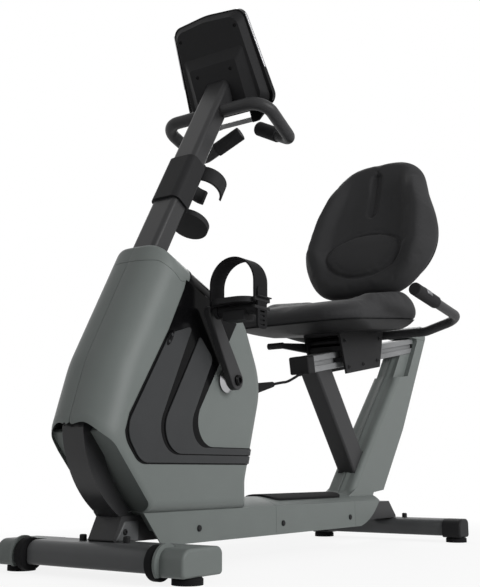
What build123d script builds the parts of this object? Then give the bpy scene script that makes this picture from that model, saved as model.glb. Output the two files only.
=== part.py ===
"""Recumbent exercise bike with a low step-through frame.

Millimetres. +X points to the front of the bike, +Y to the rider's left and +Z up. The
origin is on the floor under the middle of the bike, which stands on its four feet.
"""

import os
from math import cos, hypot, radians, sin, sqrt, tan

from build123d import *

os.makedirs("parts", exist_ok=True)

# Fits and walls
wall = 3.0
tube_wall = 3.5
fit_gap = 0.3
seam_gap = 0.8
run_gap = 0.05

# Overall
half_length = 813.0

# Stabilizers, feet and transport wheels
stab_bottom = 18.0
stab_height = 49.0
stab_half = 252.0
cap_lip = 4.0
front_stab_x = half_length - 111.0
front_stab_depth = 116.0
front_tube_half = 162.0
rear_stab_x = 249.0 - half_length
rear_stab_depth = 62.0
rear_tube_half = 196.0
foot_radius = 30.0
foot_stem_radius = 5.0
foot_stem = 30.0
foot_travel = 10.0
foot_inset = 27.0
front_foot_x = half_length - 97.0
wheel_radius = 34.0
wheel_width = 22.0
wheel_side_gap = 3.0
wheel_x = half_length - 72.0
wheel_z = 38.0
wheel_axle_radius = 6.0

# Base beam and its covers
beam_half = 35.0
beam_height = 50.0
beam_front_x = half_length - 97.0
beam_rear_x = 253.0 - half_length
cover_half = 70.0
cover_bottom = 55.0
cover_shoulder = 123.0
cover_crown = 145.0
step_front_x = 174.0
step_rear_x = -229.0
pad_half = 50.0
pad_front_x = 158.0
pad_rear_x = -204.0
pad_thickness = 5.0
pad_rib_pitch = 11.0

# Mast: a rounded tube that leans to the rear
mast_lean = 29.3
mast_x = half_length - 238.0
mast_z = 703.0
mast_width = 70.0
mast_depth = 50.0
mast_radius = 12.0
mast_below = 145.0
mast_above = 540.0

# Shroud
shroud_half = 87.0
nose_z = 316.0
front_round = 70.0
rear_round = 30.0
top_round = 45.0
foot_round = 24.0
cap_seam_z = 655.0

# Crank and drive
crank_x = half_length - 404.0
crank_z = 409.0
crank_length = 170.0
crank_angle = 57.5
crank_inner_y = 104.0
crank_thickness = 18.0
axle_radius = 10.0
bearing_radius = 20.0
bearing_width = 14.0
shell_half = 38.0
shell_radius = 26.0
belt_y = 49.0
belt_width = 10.0
belt_thickness = 3.0
pulley_radius = 100.0
flywheel_x = crank_x + 151.0
flywheel_z = 258.0
flywheel_radius = 115.0
flywheel_width = 24.0
flywheel_pulley_radius = 26.0
flywheel_y = -58.0

# Pedals
pedal_y = 188.0
pedal_half = 56.0
pedal_length = 92.0
pedal_round = 34.0
pedal_top = 20.0
pedal_base = 8.0
pedal_bottom = -8.0
spindle_radius = 7.0
strap_width = 50.0
strap_thickness = 3.5
strap_height = 113.0

# Seat rail, brace and rear post
rail_slope = 10.57
rail_x = 728.0 - half_length
rail_z = 497.0
rail_length = 656.0
rail_width = 60.0
rail_depth = 47.0
rail_cap_length = 33.0
brace_lean = 37.0
brace_x = rail_x - 61.0
brace_depth = 80.0
brace_half = 28.0
post_lean = 37.2
post_x = 313.0 - half_length
post_z = 330.0
post_depth = 56.0
post_half = 25.0
upright_half = 44.0
pocket_half = 29.0

# Seat
seat_slope = 7.13
seat_x = rail_x - 135.0
seat_z = 600.0
seat_length = 500.0
seat_width = 412.0
seat_radius = 95.0
pan_depth = 25.0
cushion_height = 62.0
carriage_half = 60.0
carriage_plate = 6.0
backrest_x = seat_x - 185.0
backrest_z = 763.0
backrest_lean = 21.4
backrest_height = 502.0
cushion_thickness = 55.0
shell_thickness = 25.0
handle_radius = 14.0
handle_x = seat_x - 258.0
handle_z = 621.0
handle_y = 300.0
lever_x = seat_x - 15.0
lever_z = 562.0
lever_length = 165.0

# Front handlebar, console and bottle holder
bar_radius = 16.0
bar_x = mast_x - 223.0
bar_z = 1093.0
console_x = mast_x - 305.0
console_z = 1140.0
console_lean = 27.8
console_height = 236.0
console_half_bottom = 134.0
console_half_top = 110.0
console_drop = 25.0
console_back_depth = 18.0
console_boss_depth = 36.0
bezel_depth = 14.0
ledge_drop = 54.0
ledge_half = 52.0
ledge_height = 12.0
holder_low = 128.0
holder_high = 262.0
ring_low = 246.0
ring_high = 288.0
dish_low = 134.0
bottle_radius = 42.0

# Pulse lead between the shroud and the seat rail
lead_radius = 3.5
boot_y = 55.0
boot_z = 415.0
boot_length = 78.0

stab_top = stab_bottom + stab_height
beam_top = stab_top + beam_height


def save(piece, name):
    """Label a finished piece and write it to its own file."""
    piece.part.label = name
    export_step(piece.part, f"parts/{name}.step")


def side(y):
    """Side plane at y: sketch x runs forward and sketch y runs up."""
    return Plane.XZ.offset(-y)


def prism(corners, radii, low, high):
    """Slab with a side outline, between two distances from the middle plane."""
    with BuildPart() as slab:
        with BuildSketch(side(high)):
            with BuildLine():
                FilletPolyline(*corners, radius=radii, close=True)
            make_face()
        extrude(amount=high - low)
    return slab.part


def inset_outline(corners, insets):
    """Corners of an outline, drawn anticlockwise, with each edge moved in by its inset."""
    edges = []
    for (ax, az), (bx, bz), inset in zip(corners, corners[1:] + corners[:1], insets):
        length = hypot(bx - ax, bz - az)
        nx, nz = (az - bz) / length, (bx - ax) / length
        edges.append((nx, nz, nx * ax + nz * az + inset))
    moved = []
    for i, (bx, bz, bd) in enumerate(edges):
        ax, az, ad = edges[i - 1]
        det = ax * bz - az * bx
        moved.append(((ad * bz - bd * az) / det, (ax * bd - bx * ad) / det))
    return moved


def rod(start, end, radius):
    """Round bar between two points."""
    start, end = Vector(*start), Vector(*end)
    with BuildPart() as bar:
        with BuildSketch(Plane(origin=start, z_dir=end - start)):
            Circle(radius)
        extrude(amount=(end - start).length)
    return bar.part


def bent_tube(points, radii, outer, inner):
    """Round tube along straight runs joined by arcs."""
    with BuildPart() as tube:
        with BuildLine() as path:
            FilletPolyline(*points, radius=radii)
        with BuildSketch(Plane(origin=path.line @ 0, z_dir=path.line % 0)):
            Circle(outer)
            Circle(inner, mode=Mode.SUBTRACT)
        sweep(path=path.line)
    return tube.part


# Stabilizers
def stab_outline(x, depth, grow):
    """Side outline of a stabilizer or its end cap: flat below, rounded above."""
    rear, front = x - depth / 2 - grow, x + depth / 2 + grow
    low, high = stab_bottom - grow, stab_top
    return [(rear, low), (front, low), (front, high), (rear, high)], (8, 10, 24, 16)


def stab_tube(x, depth, half):
    """Closed steel tube across the bike."""
    corners, radii = stab_outline(x, depth, 0)
    inner = inset_outline(corners, [tube_wall] * 4)
    inner_radii = [r - tube_wall for r in radii]
    with BuildPart() as tube:
        add(prism(corners, radii, -half, half))
        add(prism(inner, inner_radii, tube_wall - half, half - tube_wall), mode=Mode.SUBTRACT)
    return tube


front_stabilizer = stab_tube(front_stab_x, front_stab_depth, front_tube_half)
save(front_stabilizer, "front_stabilizer")
rear_stabilizer = stab_tube(rear_stab_x, rear_stab_depth, rear_tube_half)
save(rear_stabilizer, "rear_stabilizer")

foot_y = stab_half - foot_inset
foot_top = stab_bottom - cap_lip - fit_gap
foot_bore_top = foot_top + foot_stem + cap_lip
wheel_y = front_tube_half + wheel_side_gap + wheel_width / 2
wheel_slot_end = front_tube_half + wheel_width + 2 * wheel_side_gap
slot_rear_x = wheel_x - wheel_radius - wheel_side_gap

corners, radii = stab_outline(front_stab_x, front_stab_depth, cap_lip)
with BuildPart() as front_end_caps:
    add(prism(corners, radii, front_tube_half, stab_half))
    fillet(front_end_caps.faces().sort_by(Axis.Y)[-1].edges(), 6)
    with BuildSketch(side(wheel_slot_end)):
        with Locations(((slot_rear_x + half_length) / 2, stab_top / 2)):
            Rectangle(half_length - slot_rear_x, 2 * stab_top)
    extrude(amount=wheel_slot_end - front_tube_half, mode=Mode.SUBTRACT)
    with BuildSketch(side(wheel_slot_end + 2 * wall)):
        with Locations((wheel_x, wheel_z)):
            Circle(wheel_radius + wall)
        with Locations((wheel_x, -wheel_radius + stab_bottom - cap_lip)):
            Rectangle(3 * wheel_radius, 2 * wheel_radius, mode=Mode.SUBTRACT)
    extrude(amount=2 * wall)
    with BuildSketch(side(wheel_slot_end)):
        with Locations((wheel_x, wheel_z)):
            Circle(wheel_axle_radius)
    extrude(amount=wheel_slot_end - front_tube_half)
    with Locations((front_foot_x, foot_y, 0)):
        Cylinder(foot_stem_radius + run_gap, 2 * foot_bore_top, mode=Mode.SUBTRACT)
    mirror(about=Plane.XZ)
save(front_end_caps, "front_end_caps")

corners, radii = stab_outline(rear_stab_x, rear_stab_depth, cap_lip)
with BuildPart() as rear_end_caps:
    add(prism(corners, radii, rear_tube_half, stab_half))
    fillet(rear_end_caps.faces().sort_by(Axis.Y)[-1].edges(), 6)
    with Locations((rear_stab_x, foot_y, 0)):
        Cylinder(foot_stem_radius + run_gap, 2 * foot_bore_top, mode=Mode.SUBTRACT)
    mirror(about=Plane.XZ)
save(rear_end_caps, "rear_end_caps")


def levelling_foot(x, y):
    """Screw-in foot: a wide disc under a threaded stem."""
    with BuildPart() as foot:
        with Locations((x, y, 0)):
            Cylinder(foot_radius, foot_top, align=(Align.CENTER, Align.CENTER, Align.MIN))
        chamfer(foot.edges().group_by(Axis.Z)[-1], 3)
        with Locations((x, y, foot_top)):
            Cylinder(foot_stem_radius, foot_stem, align=(Align.CENTER, Align.CENTER, Align.MIN))
    return foot


for name, x, y in (
    ("front_left_foot", front_foot_x, foot_y),
    ("front_right_foot", front_foot_x, -foot_y),
    ("rear_left_foot", rear_stab_x, foot_y),
    ("rear_right_foot", rear_stab_x, -foot_y),
):
    save(levelling_foot(x, y), name)


def transport_wheel(y):
    """Rubber-rimmed wheel, turned about the axis across the bike."""
    with BuildPart() as wheel:
        with BuildSketch(side(y + wheel_width / 2)):
            with Locations((wheel_x, wheel_z)):
                Circle(wheel_radius)
                Circle(wheel_axle_radius + run_gap, mode=Mode.SUBTRACT)
        extrude(amount=wheel_width)
        rim = wheel.edges().filter_by(GeomType.CIRCLE).group_by(SortBy.RADIUS)[-1]
        fillet(rim, 5)
    return wheel


save(transport_wheel(wheel_y), "left_transport_wheel")
save(transport_wheel(-wheel_y), "right_transport_wheel")

# Base beam: one steel box tube from stabilizer to stabilizer
beam_corners = [
    (beam_rear_x, stab_top),
    (beam_front_x, stab_top),
    (beam_front_x - beam_height / 2, beam_top),
    (beam_rear_x + beam_height, beam_top),
]
beam_inner = inset_outline(beam_corners, [tube_wall] * 4)
with BuildPart() as base_beam:
    add(prism(beam_corners, 4, -beam_half, beam_half))
    add(prism(beam_inner, 1, tube_wall - beam_half, beam_half - tube_wall), mode=Mode.SUBTRACT)
save(base_beam, "base_beam")

# Mast frame: x forward, y left and z up along the mast
mast_cos, mast_sin = cos(radians(mast_lean)), sin(radians(mast_lean))
mast_plane = Plane(
    origin=(mast_x, 0, mast_z), x_dir=(mast_cos, 0, mast_sin), z_dir=(-mast_sin, 0, mast_cos)
)


def on_mast(forward, along):
    """Side-view point at a distance in front of the mast's axis and up along it."""
    return (
        mast_x + forward * mast_cos - along * mast_sin,
        mast_z + forward * mast_sin + along * mast_cos,
    )


# Front leg: steel tube that rises into the nose and turns back along the mast
sleeve = 2.6
stub_half_depth = mast_depth / 2 - wall - sleeve - fit_gap
stub_half_width = mast_width / 2 - wall - sleeve - fit_gap
leg_knee = (mast_z - nose_z - 45) / mast_cos
leg_top = 45.0
leg_front_foot = (beam_front_x - beam_height / 2, beam_top)
leg_depth = 46.0
leg_rear_foot = (leg_front_foot[0] - leg_depth, beam_top)
leg_lip = (half_length - 11, nose_z - 24)


def leg_outline(inset):
    """Side outline of the leg, or of its hollow."""
    depth = stub_half_depth - inset
    with BuildSketch(side(stub_half_width - inset)) as outline:
        with BuildLine():
            knee_front = on_mast(depth, -leg_knee)
            knee_rear = on_mast(-depth, -leg_knee)
            top_front, top_rear = on_mast(depth, -leg_top - inset), on_mast(-depth, -leg_top - inset)
            front_foot = (leg_front_foot[0] - inset, leg_front_foot[1] + inset)
            rear_foot = (leg_rear_foot[0] + inset, leg_rear_foot[1] + inset)
            shin_top = (leg_lip[0] - inset, leg_lip[1])
            calf_top = (leg_lip[0] - leg_depth + inset, leg_lip[1])
            shin = (leg_lip[0] - 24 - 0.9 * inset, leg_lip[1] - 83 + 0.45 * inset)
            calf = (shin[0] - 0.9 * (leg_depth - 2 * inset), shin[1] + 0.45 * (leg_depth - 2 * inset))
            Line(knee_front, top_front)
            Line(top_front, top_rear)
            Line(top_rear, knee_rear)
            Line(knee_rear, calf_top)
            ThreePointArc(calf_top, calf, rear_foot)
            Line(rear_foot, front_foot)
            ThreePointArc(front_foot, shin, shin_top)
            Line(shin_top, knee_front)
        make_face()
    return outline.sketch


with BuildPart() as front_leg:
    extrude(leg_outline(0), amount=2 * stub_half_width)
    extrude(leg_outline(tube_wall), amount=2 * (stub_half_width - tube_wall), mode=Mode.SUBTRACT)
save(front_leg, "front_leg")

# Covers over the beam: flat sides and a crowned top
crown_rise = cover_crown - cover_shoulder
crown_radius = (cover_half**2 + crown_rise**2) / (2 * crown_rise)
crown_z = cover_crown - crown_radius


def cover_section(x, inset, low):
    """Cross-section of the beam cover at x, drawn in by an inset and open below at low."""
    half, radius = cover_half - inset, crown_radius - inset
    shoulder = crown_z + sqrt(radius**2 - half**2)
    with BuildSketch(Plane.YZ.offset(x)) as section:
        with BuildLine():
            Line((-half, low), (half, low))
            Line((half, low), (half, shoulder))
            ThreePointArc((half, shoulder), (0, crown_z + radius), (-half, shoulder))
            Line((-half, shoulder), (-half, low))
        make_face()
    return section.sketch


def cover_run(rear, front, inset):
    """Length of beam cover, or of its hollow, between two stations."""
    low = cover_bottom - inset
    with BuildPart() as run:
        extrude(cover_section(rear, inset, low), amount=front - rear)
    return run.part


with BuildPart() as step_cover:
    add(cover_run(step_rear_x + seam_gap, step_front_x - seam_gap, 0))
    add(cover_run(step_rear_x, step_front_x, wall), mode=Mode.SUBTRACT)
save(step_cover, "step_cover")

pad_length = pad_front_x - pad_rear_x
pad_middle = (pad_front_x + pad_rear_x) / 2
rib_count = int((pad_length - pad_half) / pad_rib_pitch)
with BuildPart() as step_pad:
    with BuildSketch(Plane.XY.offset(cover_shoulder)):
        with Locations((pad_middle, 0)):
            RectangleRounded(pad_length, 2 * pad_half, 0.7 * pad_half)
    extrude(amount=2 * crown_rise)
    with BuildSketch(Plane.YZ.offset(pad_rear_x - pad_half)):
        with Locations((0, crown_z)):
            Circle(crown_radius + pad_thickness)
            Circle(crown_radius, mode=Mode.SUBTRACT)
    extrude(amount=pad_length + 2 * pad_half, mode=Mode.INTERSECT)
    with BuildSketch(Plane.XZ):
        with Locations((pad_middle, cover_crown + pad_thickness)):
            with GridLocations(pad_rib_pitch, 1, rib_count, 1):
                Rectangle(pad_rib_pitch / 3, wall)
    extrude(amount=0.55 * pad_half, both=True, mode=Mode.SUBTRACT)
save(step_pad, "step_pad")

# Shroud: a side outline whose edges round over towards the side walls
nose = (half_length + 3.7, nose_z - 21)
toe = (mast_x + 89, cover_shoulder)
shroud_corners = [
    nose,
    (half_length - 41, nose_z + 115),
    on_mast(mast_depth / 2 + 18, -30.0),
    (crank_x - 84, crank_z + 171),
    (crank_x - 167, crank_z + 3),
    (crank_x - 96, cover_shoulder + 62),
    (crank_x - 96, cover_shoulder),
    toe,
]
shroud_radii = [45, 250, 14, 70, 140, 60, 0, 10]
shroud_rounds = [front_round] * 2 + [top_round] + [rear_round] * 3 + [foot_round] * 2
shroud_levels = (0, 30, 55, 70, 79, 84.5, 87)


def rounded_inset(y, half, reach):
    """How far an edge has rolled inwards at a distance y from the middle plane."""
    start = half - reach
    if y <= start:
        return 0.0
    return reach * (1 - sqrt(max(0.0, 1 - ((y - start) / reach) ** 2)))


def rolled_half(corners, radii, levels, insets_at):
    """Left half of a body whose side outline rolls in towards its flank."""
    with BuildPart() as body:
        for level in levels:
            with BuildSketch(side(level)):
                with BuildLine():
                    FilletPolyline(*inset_outline(corners, insets_at(level)), radius=radii, close=True)
                make_face()
        loft()
    return body.part


def shroud_half_solid(inset):
    """Left half of the shroud's body, or of its hollow, which is open along the slanted edge."""
    half = shroud_half - inset

    def insets_at(level):
        insets = [inset + rounded_inset(level, half, max(reach - inset, 1.0)) for reach in shroud_rounds]
        if inset > 0:
            insets[-1] = -foot_round
        return insets

    levels = [level * half / shroud_levels[-1] for level in shroud_levels]
    return rolled_half(shroud_corners, shroud_radii, levels, insets_at)


def ahead_of_toe():
    """Block in front of the slanted edge between the toe and the nose."""
    run, rise = nose[0] - toe[0], nose[1] - toe[1]
    low = (toe[0] - run, toe[1] - rise)
    high = (nose[0] + run, nose[1] + rise)
    return prism([low, (high[0], low[1]), high], 0, -stab_half, stab_half)


toe_cut = ahead_of_toe()
crank_hole = axle_radius + 8.0
shroud_body = shroud_half_solid(0)
with BuildPart() as shroud_shell:
    add(shroud_body)
    add(cover_run(step_front_x, toe[0], 0))
    add(toe_cut, mode=Mode.SUBTRACT)
    add(shroud_half_solid(wall), mode=Mode.SUBTRACT)
    add(cover_run(step_front_x, toe[0], wall), mode=Mode.SUBTRACT)
    split(bisect_by=Plane.XZ, keep=Keep.BOTTOM)
with BuildPart() as mast_opening:
    with BuildSketch(mast_plane.offset(-mast_below - wall)):
        RectangleRounded(mast_depth + 4 * fit_gap, mast_width + 4 * fit_gap, mast_radius)
    extrude(amount=mast_below + mast_above)
notch_half = stub_half_width + 5
with BuildPart() as leg_notch:
    with BuildSketch(Plane.YZ.offset(half_length - 60)):
        with Locations((0, leg_lip[1] - 54)):
            RectangleRounded(2 * notch_half, 100, 12)
    extrude(amount=100)
crank_opening = rod((crank_x, -stab_half, crank_z), (crank_x, stab_half, crank_z), crank_hole)
cap_corners = [
    (half_length + stab_half, cap_seam_z + 150),
    (mast_x - 47, cap_seam_z + 150),
    (mast_x - 47, cap_seam_z - 5),
    (mast_x - 27, cap_seam_z - 39),
    (mast_x, cap_seam_z - 39),
    (mast_x + 53, cap_seam_z),
    (half_length + stab_half, cap_seam_z),
]
cap_radii = [0, 0, 10, 12, 12, 14, 0]
cap_block = prism(cap_corners, cap_radii, -stab_half, stab_half)
cap_room = prism(inset_outline(cap_corners, [-seam_gap] * 7), cap_radii, -stab_half, stab_half)
with BuildPart() as shroud_left:
    add(shroud_shell.part)
    split(bisect_by=Plane.XZ.offset(-seam_gap / 2), keep=Keep.BOTTOM)
    add(cap_room, mode=Mode.SUBTRACT)
    add(mast_opening.part, mode=Mode.SUBTRACT)
    add(leg_notch.part, mode=Mode.SUBTRACT)
    extrude(leg_outline(0), amount=2 * stub_half_width, mode=Mode.SUBTRACT)
    add(crank_opening, mode=Mode.SUBTRACT)
    add(shroud_left.solids().sort_by(SortBy.VOLUME)[-1], mode=Mode.REPLACE)
save(shroud_left, "shroud_left")
with BuildPart() as shroud_right:
    mirror(shroud_left.part, about=Plane.XZ)
save(shroud_right, "shroud_right")
with BuildPart() as shroud_cap:
    add(shroud_shell.part)
    mirror(about=Plane.XZ)
    add(cap_block, mode=Mode.INTERSECT)
    add(mast_opening.part, mode=Mode.SUBTRACT)
save(shroud_cap, "shroud_cap")

# Pulse lead: a tapered boot on the shroud, a light lead and a gland under the rail's end
boot_tip = (crank_x - 245, boot_y, boot_z + 6)
boot_root = (boot_tip[0] + boot_length + 12, boot_y, boot_z - 12)
gland_root = (rail_x + 19, 0.0, rail_z - 25)
lead_middle = (35.0, 22.0, 439.0)
gland_way = (Vector(*lead_middle) - Vector(*gland_root)).normalized()
gland_tip = Vector(*gland_root) + gland_way * 14
boot_way = (Vector(*boot_tip) - Vector(*boot_root)).normalized()
lead_start = Vector(*boot_tip)
with BuildPart() as cable_boot:
    with BuildSketch(Plane(origin=boot_root, z_dir=boot_way)):
        Circle(14)
    with BuildSketch(Plane(origin=boot_tip, z_dir=boot_way)):
        Circle(7)
    loft()
    add(shroud_body, mode=Mode.SUBTRACT)
save(cable_boot, "cable_boot")
with BuildPart() as pulse_cable:
    add(
        bent_tube(
            [lead_start, lead_start + boot_way * 40, Vector(*lead_middle), gland_tip],
            [120, 200],
            lead_radius,
            lead_radius / 2,
        )
    )
save(pulse_cable, "pulse_cable")

# Leg covers: plates that close the slanted opening on both sides of the leg
plate_half = shroud_half - wall - seam_gap
plate_back = -29.0
plate_front = -19.0
slant = Vector(nose[0] - toe[0], nose[1] - toe[1]).normalized()
ahead = Vector(slant.Y, -slant.X)
plate_low = Vector(toe[0], toe[1]) - slant * 70
plate_high = Vector(nose[0], nose[1]) - slant * 30
plate_spots = [
    plate_low + ahead * plate_back,
    plate_low + ahead * plate_front,
    plate_high + ahead * plate_front,
    plate_high + ahead * plate_back,
]
plate_corners = [(spot.X, spot.Y) for spot in plate_spots]
with BuildPart() as leg_cover:
    add(prism(plate_corners, 0, -plate_half, plate_half))
    front_face = leg_cover.faces().sort_by(Axis(origin=(0, 0, 0), direction=(ahead.X, 0, ahead.Y)))[-1]
    fillet(front_face.edges(), 3)
    extrude(leg_outline(0), amount=2 * stub_half_width, mode=Mode.SUBTRACT)
    add(prism(beam_corners, 4, -beam_half, beam_half), mode=Mode.SUBTRACT)
    add(shroud_left.part, mode=Mode.SUBTRACT)
    add(mirror(shroud_left.part, about=Plane.XZ), mode=Mode.SUBTRACT)
    add(leg_cover.solids().sort_by(SortBy.VOLUME)[-1], mode=Mode.REPLACE)
save(leg_cover, "leg_cover")


# Side panels: two dark petals over gloss trim, on the flat of each shroud half
def leaning(x, z, lean):
    """Point at height z on a line that passes x at a height of 330 and leans back."""
    return (x + (330.0 - z) * tan(radians(lean)), z)


flat_rounds = [reach + 1.5 for reach in shroud_rounds]
flat_area = inset_outline(shroud_corners, flat_rounds)
trim_y = shroud_half + 1.2
panel_y = trim_y + 2.6
trim_corners = [
    leaning(crank_x + 318, 285, 33),
    leaning(crank_x + 318, 505, 33),
    (mast_x - 12, 600.0),
    (mast_x - 33, 660.0),
    (mast_x - 275, 660.0),
    leaning(crank_x + 102, 600, 33.8),
    leaning(crank_x + 102, 259, 33.8),
    (crank_x - 209, 259.0),
    (crank_x - 209, 221.0),
    (crank_x + 293, 221.0),
]
outer_petal = [
    leaning(crank_x + 311, 288, 33),
    leaning(crank_x + 311, 495, 33),
    leaning(crank_x + 221, 520, 26.5),
    leaning(crank_x + 221, 240.5, 26.5),
    (crank_x - 209, 240.5),
    (crank_x - 209, 224.0),
    (crank_x + 289, 224.0),
]
inner_petal = [
    leaning(crank_x + 204, 500, 31.5),
    leaning(crank_x + 119, 455, 28.5),
    leaning(crank_x + 119, 257, 28.5),
    (crank_x - 209, 257.0),
    (crank_x - 209, 243.0),
    leaning(crank_x + 204, 243, 31.5),
]
with BuildPart() as side_trims:
    add(prism(trim_corners, [50, 0, 60, 8, 0, 0, 55, 0, 0, 45], shroud_half, trim_y))
    add(prism(flat_area, [4] * 8, shroud_half, trim_y), mode=Mode.INTERSECT)
    add(crank_opening, mode=Mode.SUBTRACT)
    mirror(about=Plane.XZ)
save(side_trims, "side_trims")
with BuildPart() as side_panels:
    add(prism(outer_petal, [50, 6, 6, 58, 0, 0, 45], trim_y, panel_y))
    add(prism(inner_petal, [4, 20, 50, 0, 0, 55], trim_y, panel_y))
    add(prism(flat_area, [4] * 8, shroud_half, panel_y), mode=Mode.INTERSECT)
    mirror(about=Plane.XZ)
save(side_panels, "side_panels")

# Drive frame: crank post with its bearing shell, flywheel post and brake arm
brake_radius = flywheel_radius + wall + 8
brake_angle = 8.0
brake_x = flywheel_x + brake_radius * cos(radians(brake_angle))
brake_z = flywheel_z + brake_radius * sin(radians(brake_angle))
brake_pin_radius = 5.0
post_half_width = 18.0
with BuildPart() as drive_frame:
    with Locations((crank_x, 0, (beam_top + crank_z) / 2)):
        Box(50, 2 * post_half_width, crank_z - beam_top)
    with Locations((flywheel_x, 0, (beam_top + flywheel_z) / 2)):
        Box(40, 2 * post_half_width, flywheel_z - beam_top)
    with BuildSketch(side(post_half_width / 2)):
        with BuildLine() as brake_arm:
            CenterArc((flywheel_x, flywheel_z - 60), 14, 0, 360)
            CenterArc((brake_x, brake_z), 11, 0, 360)
        make_hull(brake_arm.edges())
    extrude(amount=post_half_width)
    for x, z in ((crank_x, crank_z), (flywheel_x, flywheel_z)):
        add(rod((x, -shell_half, z), (x, shell_half, z), shell_radius))
    add(rod((brake_x, flywheel_y - flywheel_width, brake_z), (brake_x, 0, brake_z), brake_pin_radius))
    for low, high, radius in (
        (-shell_half, bearing_width - shell_half, bearing_radius),
        (shell_half - bearing_width, shell_half, bearing_radius),
        (-shell_half, shell_half, axle_radius + 4),
    ):
        add(rod((crank_x, low, crank_z), (crank_x, high, crank_z), radius), mode=Mode.SUBTRACT)
    add(
        rod(
            (flywheel_x, -shell_half, flywheel_z),
            (flywheel_x, shell_half, flywheel_z),
            axle_radius + run_gap,
        ),
        mode=Mode.SUBTRACT,
    )
save(drive_frame, "drive_frame")

with BuildPart() as crank_bearings:
    add(rod((crank_x, shell_half - bearing_width, crank_z), (crank_x, shell_half, crank_z), bearing_radius))
    add(
        rod(
            (crank_x, shell_half - bearing_width, crank_z),
            (crank_x, shell_half, crank_z),
            axle_radius + run_gap,
        ),
        mode=Mode.SUBTRACT,
    )
    mirror(about=Plane.XZ)
save(crank_bearings, "crank_bearings")

# Crank axle with a bright cone on each side
cone_start = panel_y + 1.0
axle_end = crank_inner_y + crank_thickness + 2
with BuildPart() as crank_axle:
    add(rod((crank_x, -axle_end, crank_z), (crank_x, axle_end, crank_z), axle_radius))
    with BuildSketch(side(cone_start)):
        with Locations((crank_x, crank_z)):
            Circle(27)
    with BuildSketch(side(crank_inner_y)):
        with Locations((crank_x, crank_z)):
            Circle(15)
    loft()
    with BuildSketch(side(-cone_start)):
        with Locations((crank_x, crank_z)):
            Circle(27)
    with BuildSketch(side(-crank_inner_y)):
        with Locations((crank_x, crank_z)):
            Circle(15)
    loft()
save(crank_axle, "crank_axle")

with BuildPart() as drive_pulley:
    with BuildSketch(side(belt_y + belt_width / 2)):
        with Locations((crank_x, crank_z)):
            Circle(pulley_radius)
            with PolarLocations(0.62 * pulley_radius, 5):
                Circle(0.2 * pulley_radius, mode=Mode.SUBTRACT)
    extrude(amount=belt_width)
    hub_end = shroud_half - 2 * wall
    add(rod((crank_x, belt_y, crank_z), (crank_x, hub_end, crank_z), 2 * axle_radius))
    add(
        rod((crank_x, 0, crank_z), (crank_x, stab_half, crank_z), axle_radius), mode=Mode.SUBTRACT
    )
save(drive_pulley, "drive_pulley")

with BuildPart() as flywheel:
    with BuildSketch(side(flywheel_y + flywheel_width / 2)):
        with Locations((flywheel_x, flywheel_z)):
            Circle(flywheel_radius)
    extrude(amount=flywheel_width)
    for y in (flywheel_y + flywheel_width / 2, flywheel_y - flywheel_width / 2 + 7):
        with BuildSketch(side(y)):
            with Locations((flywheel_x, flywheel_z)):
                Circle(0.82 * flywheel_radius)
                Circle(0.3 * flywheel_radius, mode=Mode.SUBTRACT)
        extrude(amount=7, mode=Mode.SUBTRACT)
    axle_far = flywheel_y - flywheel_width / 2 - 6
    axle_near = belt_y + belt_width / 2 + 4
    add(rod((flywheel_x, axle_far, flywheel_z), (flywheel_x, axle_near, flywheel_z), axle_radius))
    add(
        rod(
            (flywheel_x, belt_y - belt_width / 2, flywheel_z),
            (flywheel_x, belt_y + belt_width / 2, flywheel_z),
            flywheel_pulley_radius,
        )
    )
save(flywheel, "flywheel")


def belt_loop(grow):
    """Outline round both pulleys, a distance outside them."""
    with BuildSketch(side(belt_y + belt_width / 2)) as loop:
        with BuildLine() as rounds:
            CenterArc((crank_x, crank_z), pulley_radius + grow, 0, 360)
            CenterArc((flywheel_x, flywheel_z), flywheel_pulley_radius + grow, 0, 360)
        make_hull(rounds.edges())
    return loop.sketch


with BuildPart() as drive_belt:
    extrude(belt_loop(fit_gap + belt_thickness), amount=belt_width)
    extrude(belt_loop(fit_gap), amount=belt_width, mode=Mode.SUBTRACT)
save(drive_belt, "drive_belt")

with BuildPart() as brake_magnets:
    with BuildSketch(side(flywheel_y + flywheel_width / 2)):
        with BuildLine():
            inner, outer = flywheel_radius + wall, flywheel_radius + wall + 18
            CenterArc((flywheel_x, flywheel_z), inner, brake_angle + 4, 66)
            CenterArc((flywheel_x, flywheel_z), outer, brake_angle + 4, 66)
            for angle in (brake_angle + 4, brake_angle + 70):
                PolarLine((flywheel_x + inner * cos(radians(angle)),
                           flywheel_z + inner * sin(radians(angle))), 18, angle)
        make_face()
        with Locations((brake_x, brake_z)):
            Circle(12)
            Circle(brake_pin_radius + run_gap, mode=Mode.SUBTRACT)
    extrude(amount=flywheel_width)
    add(
        rod((flywheel_x, -stab_half, flywheel_z), (flywheel_x, 0, flywheel_z), flywheel_radius + wall - 1),
        mode=Mode.SUBTRACT,
    )
save(brake_magnets, "brake_magnets")

# Cranks, pedals and straps
reach_x = crank_length * cos(radians(crank_angle))
reach_z = crank_length * sin(radians(crank_angle))
spindle_end = pedal_y + 0.6 * pedal_half


def crank_arm(hand):
    """Crank arm with its pedal spindle: hand is 1 for left and -1 for right."""
    x, z = crank_x + hand * reach_x, crank_z + hand * reach_z
    inner, outer = hand * crank_inner_y, hand * (crank_inner_y + crank_thickness)
    with BuildPart() as arm:
        with BuildSketch(side(max(inner, outer))):
            with BuildLine() as rounds:
                CenterArc((crank_x, crank_z), 22, 0, 360)
                CenterArc((x, z), 15, 0, 360)
            make_hull(rounds.edges())
        extrude(amount=crank_thickness)
        fillet(arm.faces().filter_by(Axis.Y).edges(), 3)
        add(rod((crank_x, 0, crank_z), (crank_x, hand * stab_half, crank_z), axle_radius), mode=Mode.SUBTRACT)
        add(rod((x, inner + hand * wall, z), (x, hand * spindle_end, z), spindle_radius))
    return arm


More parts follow.
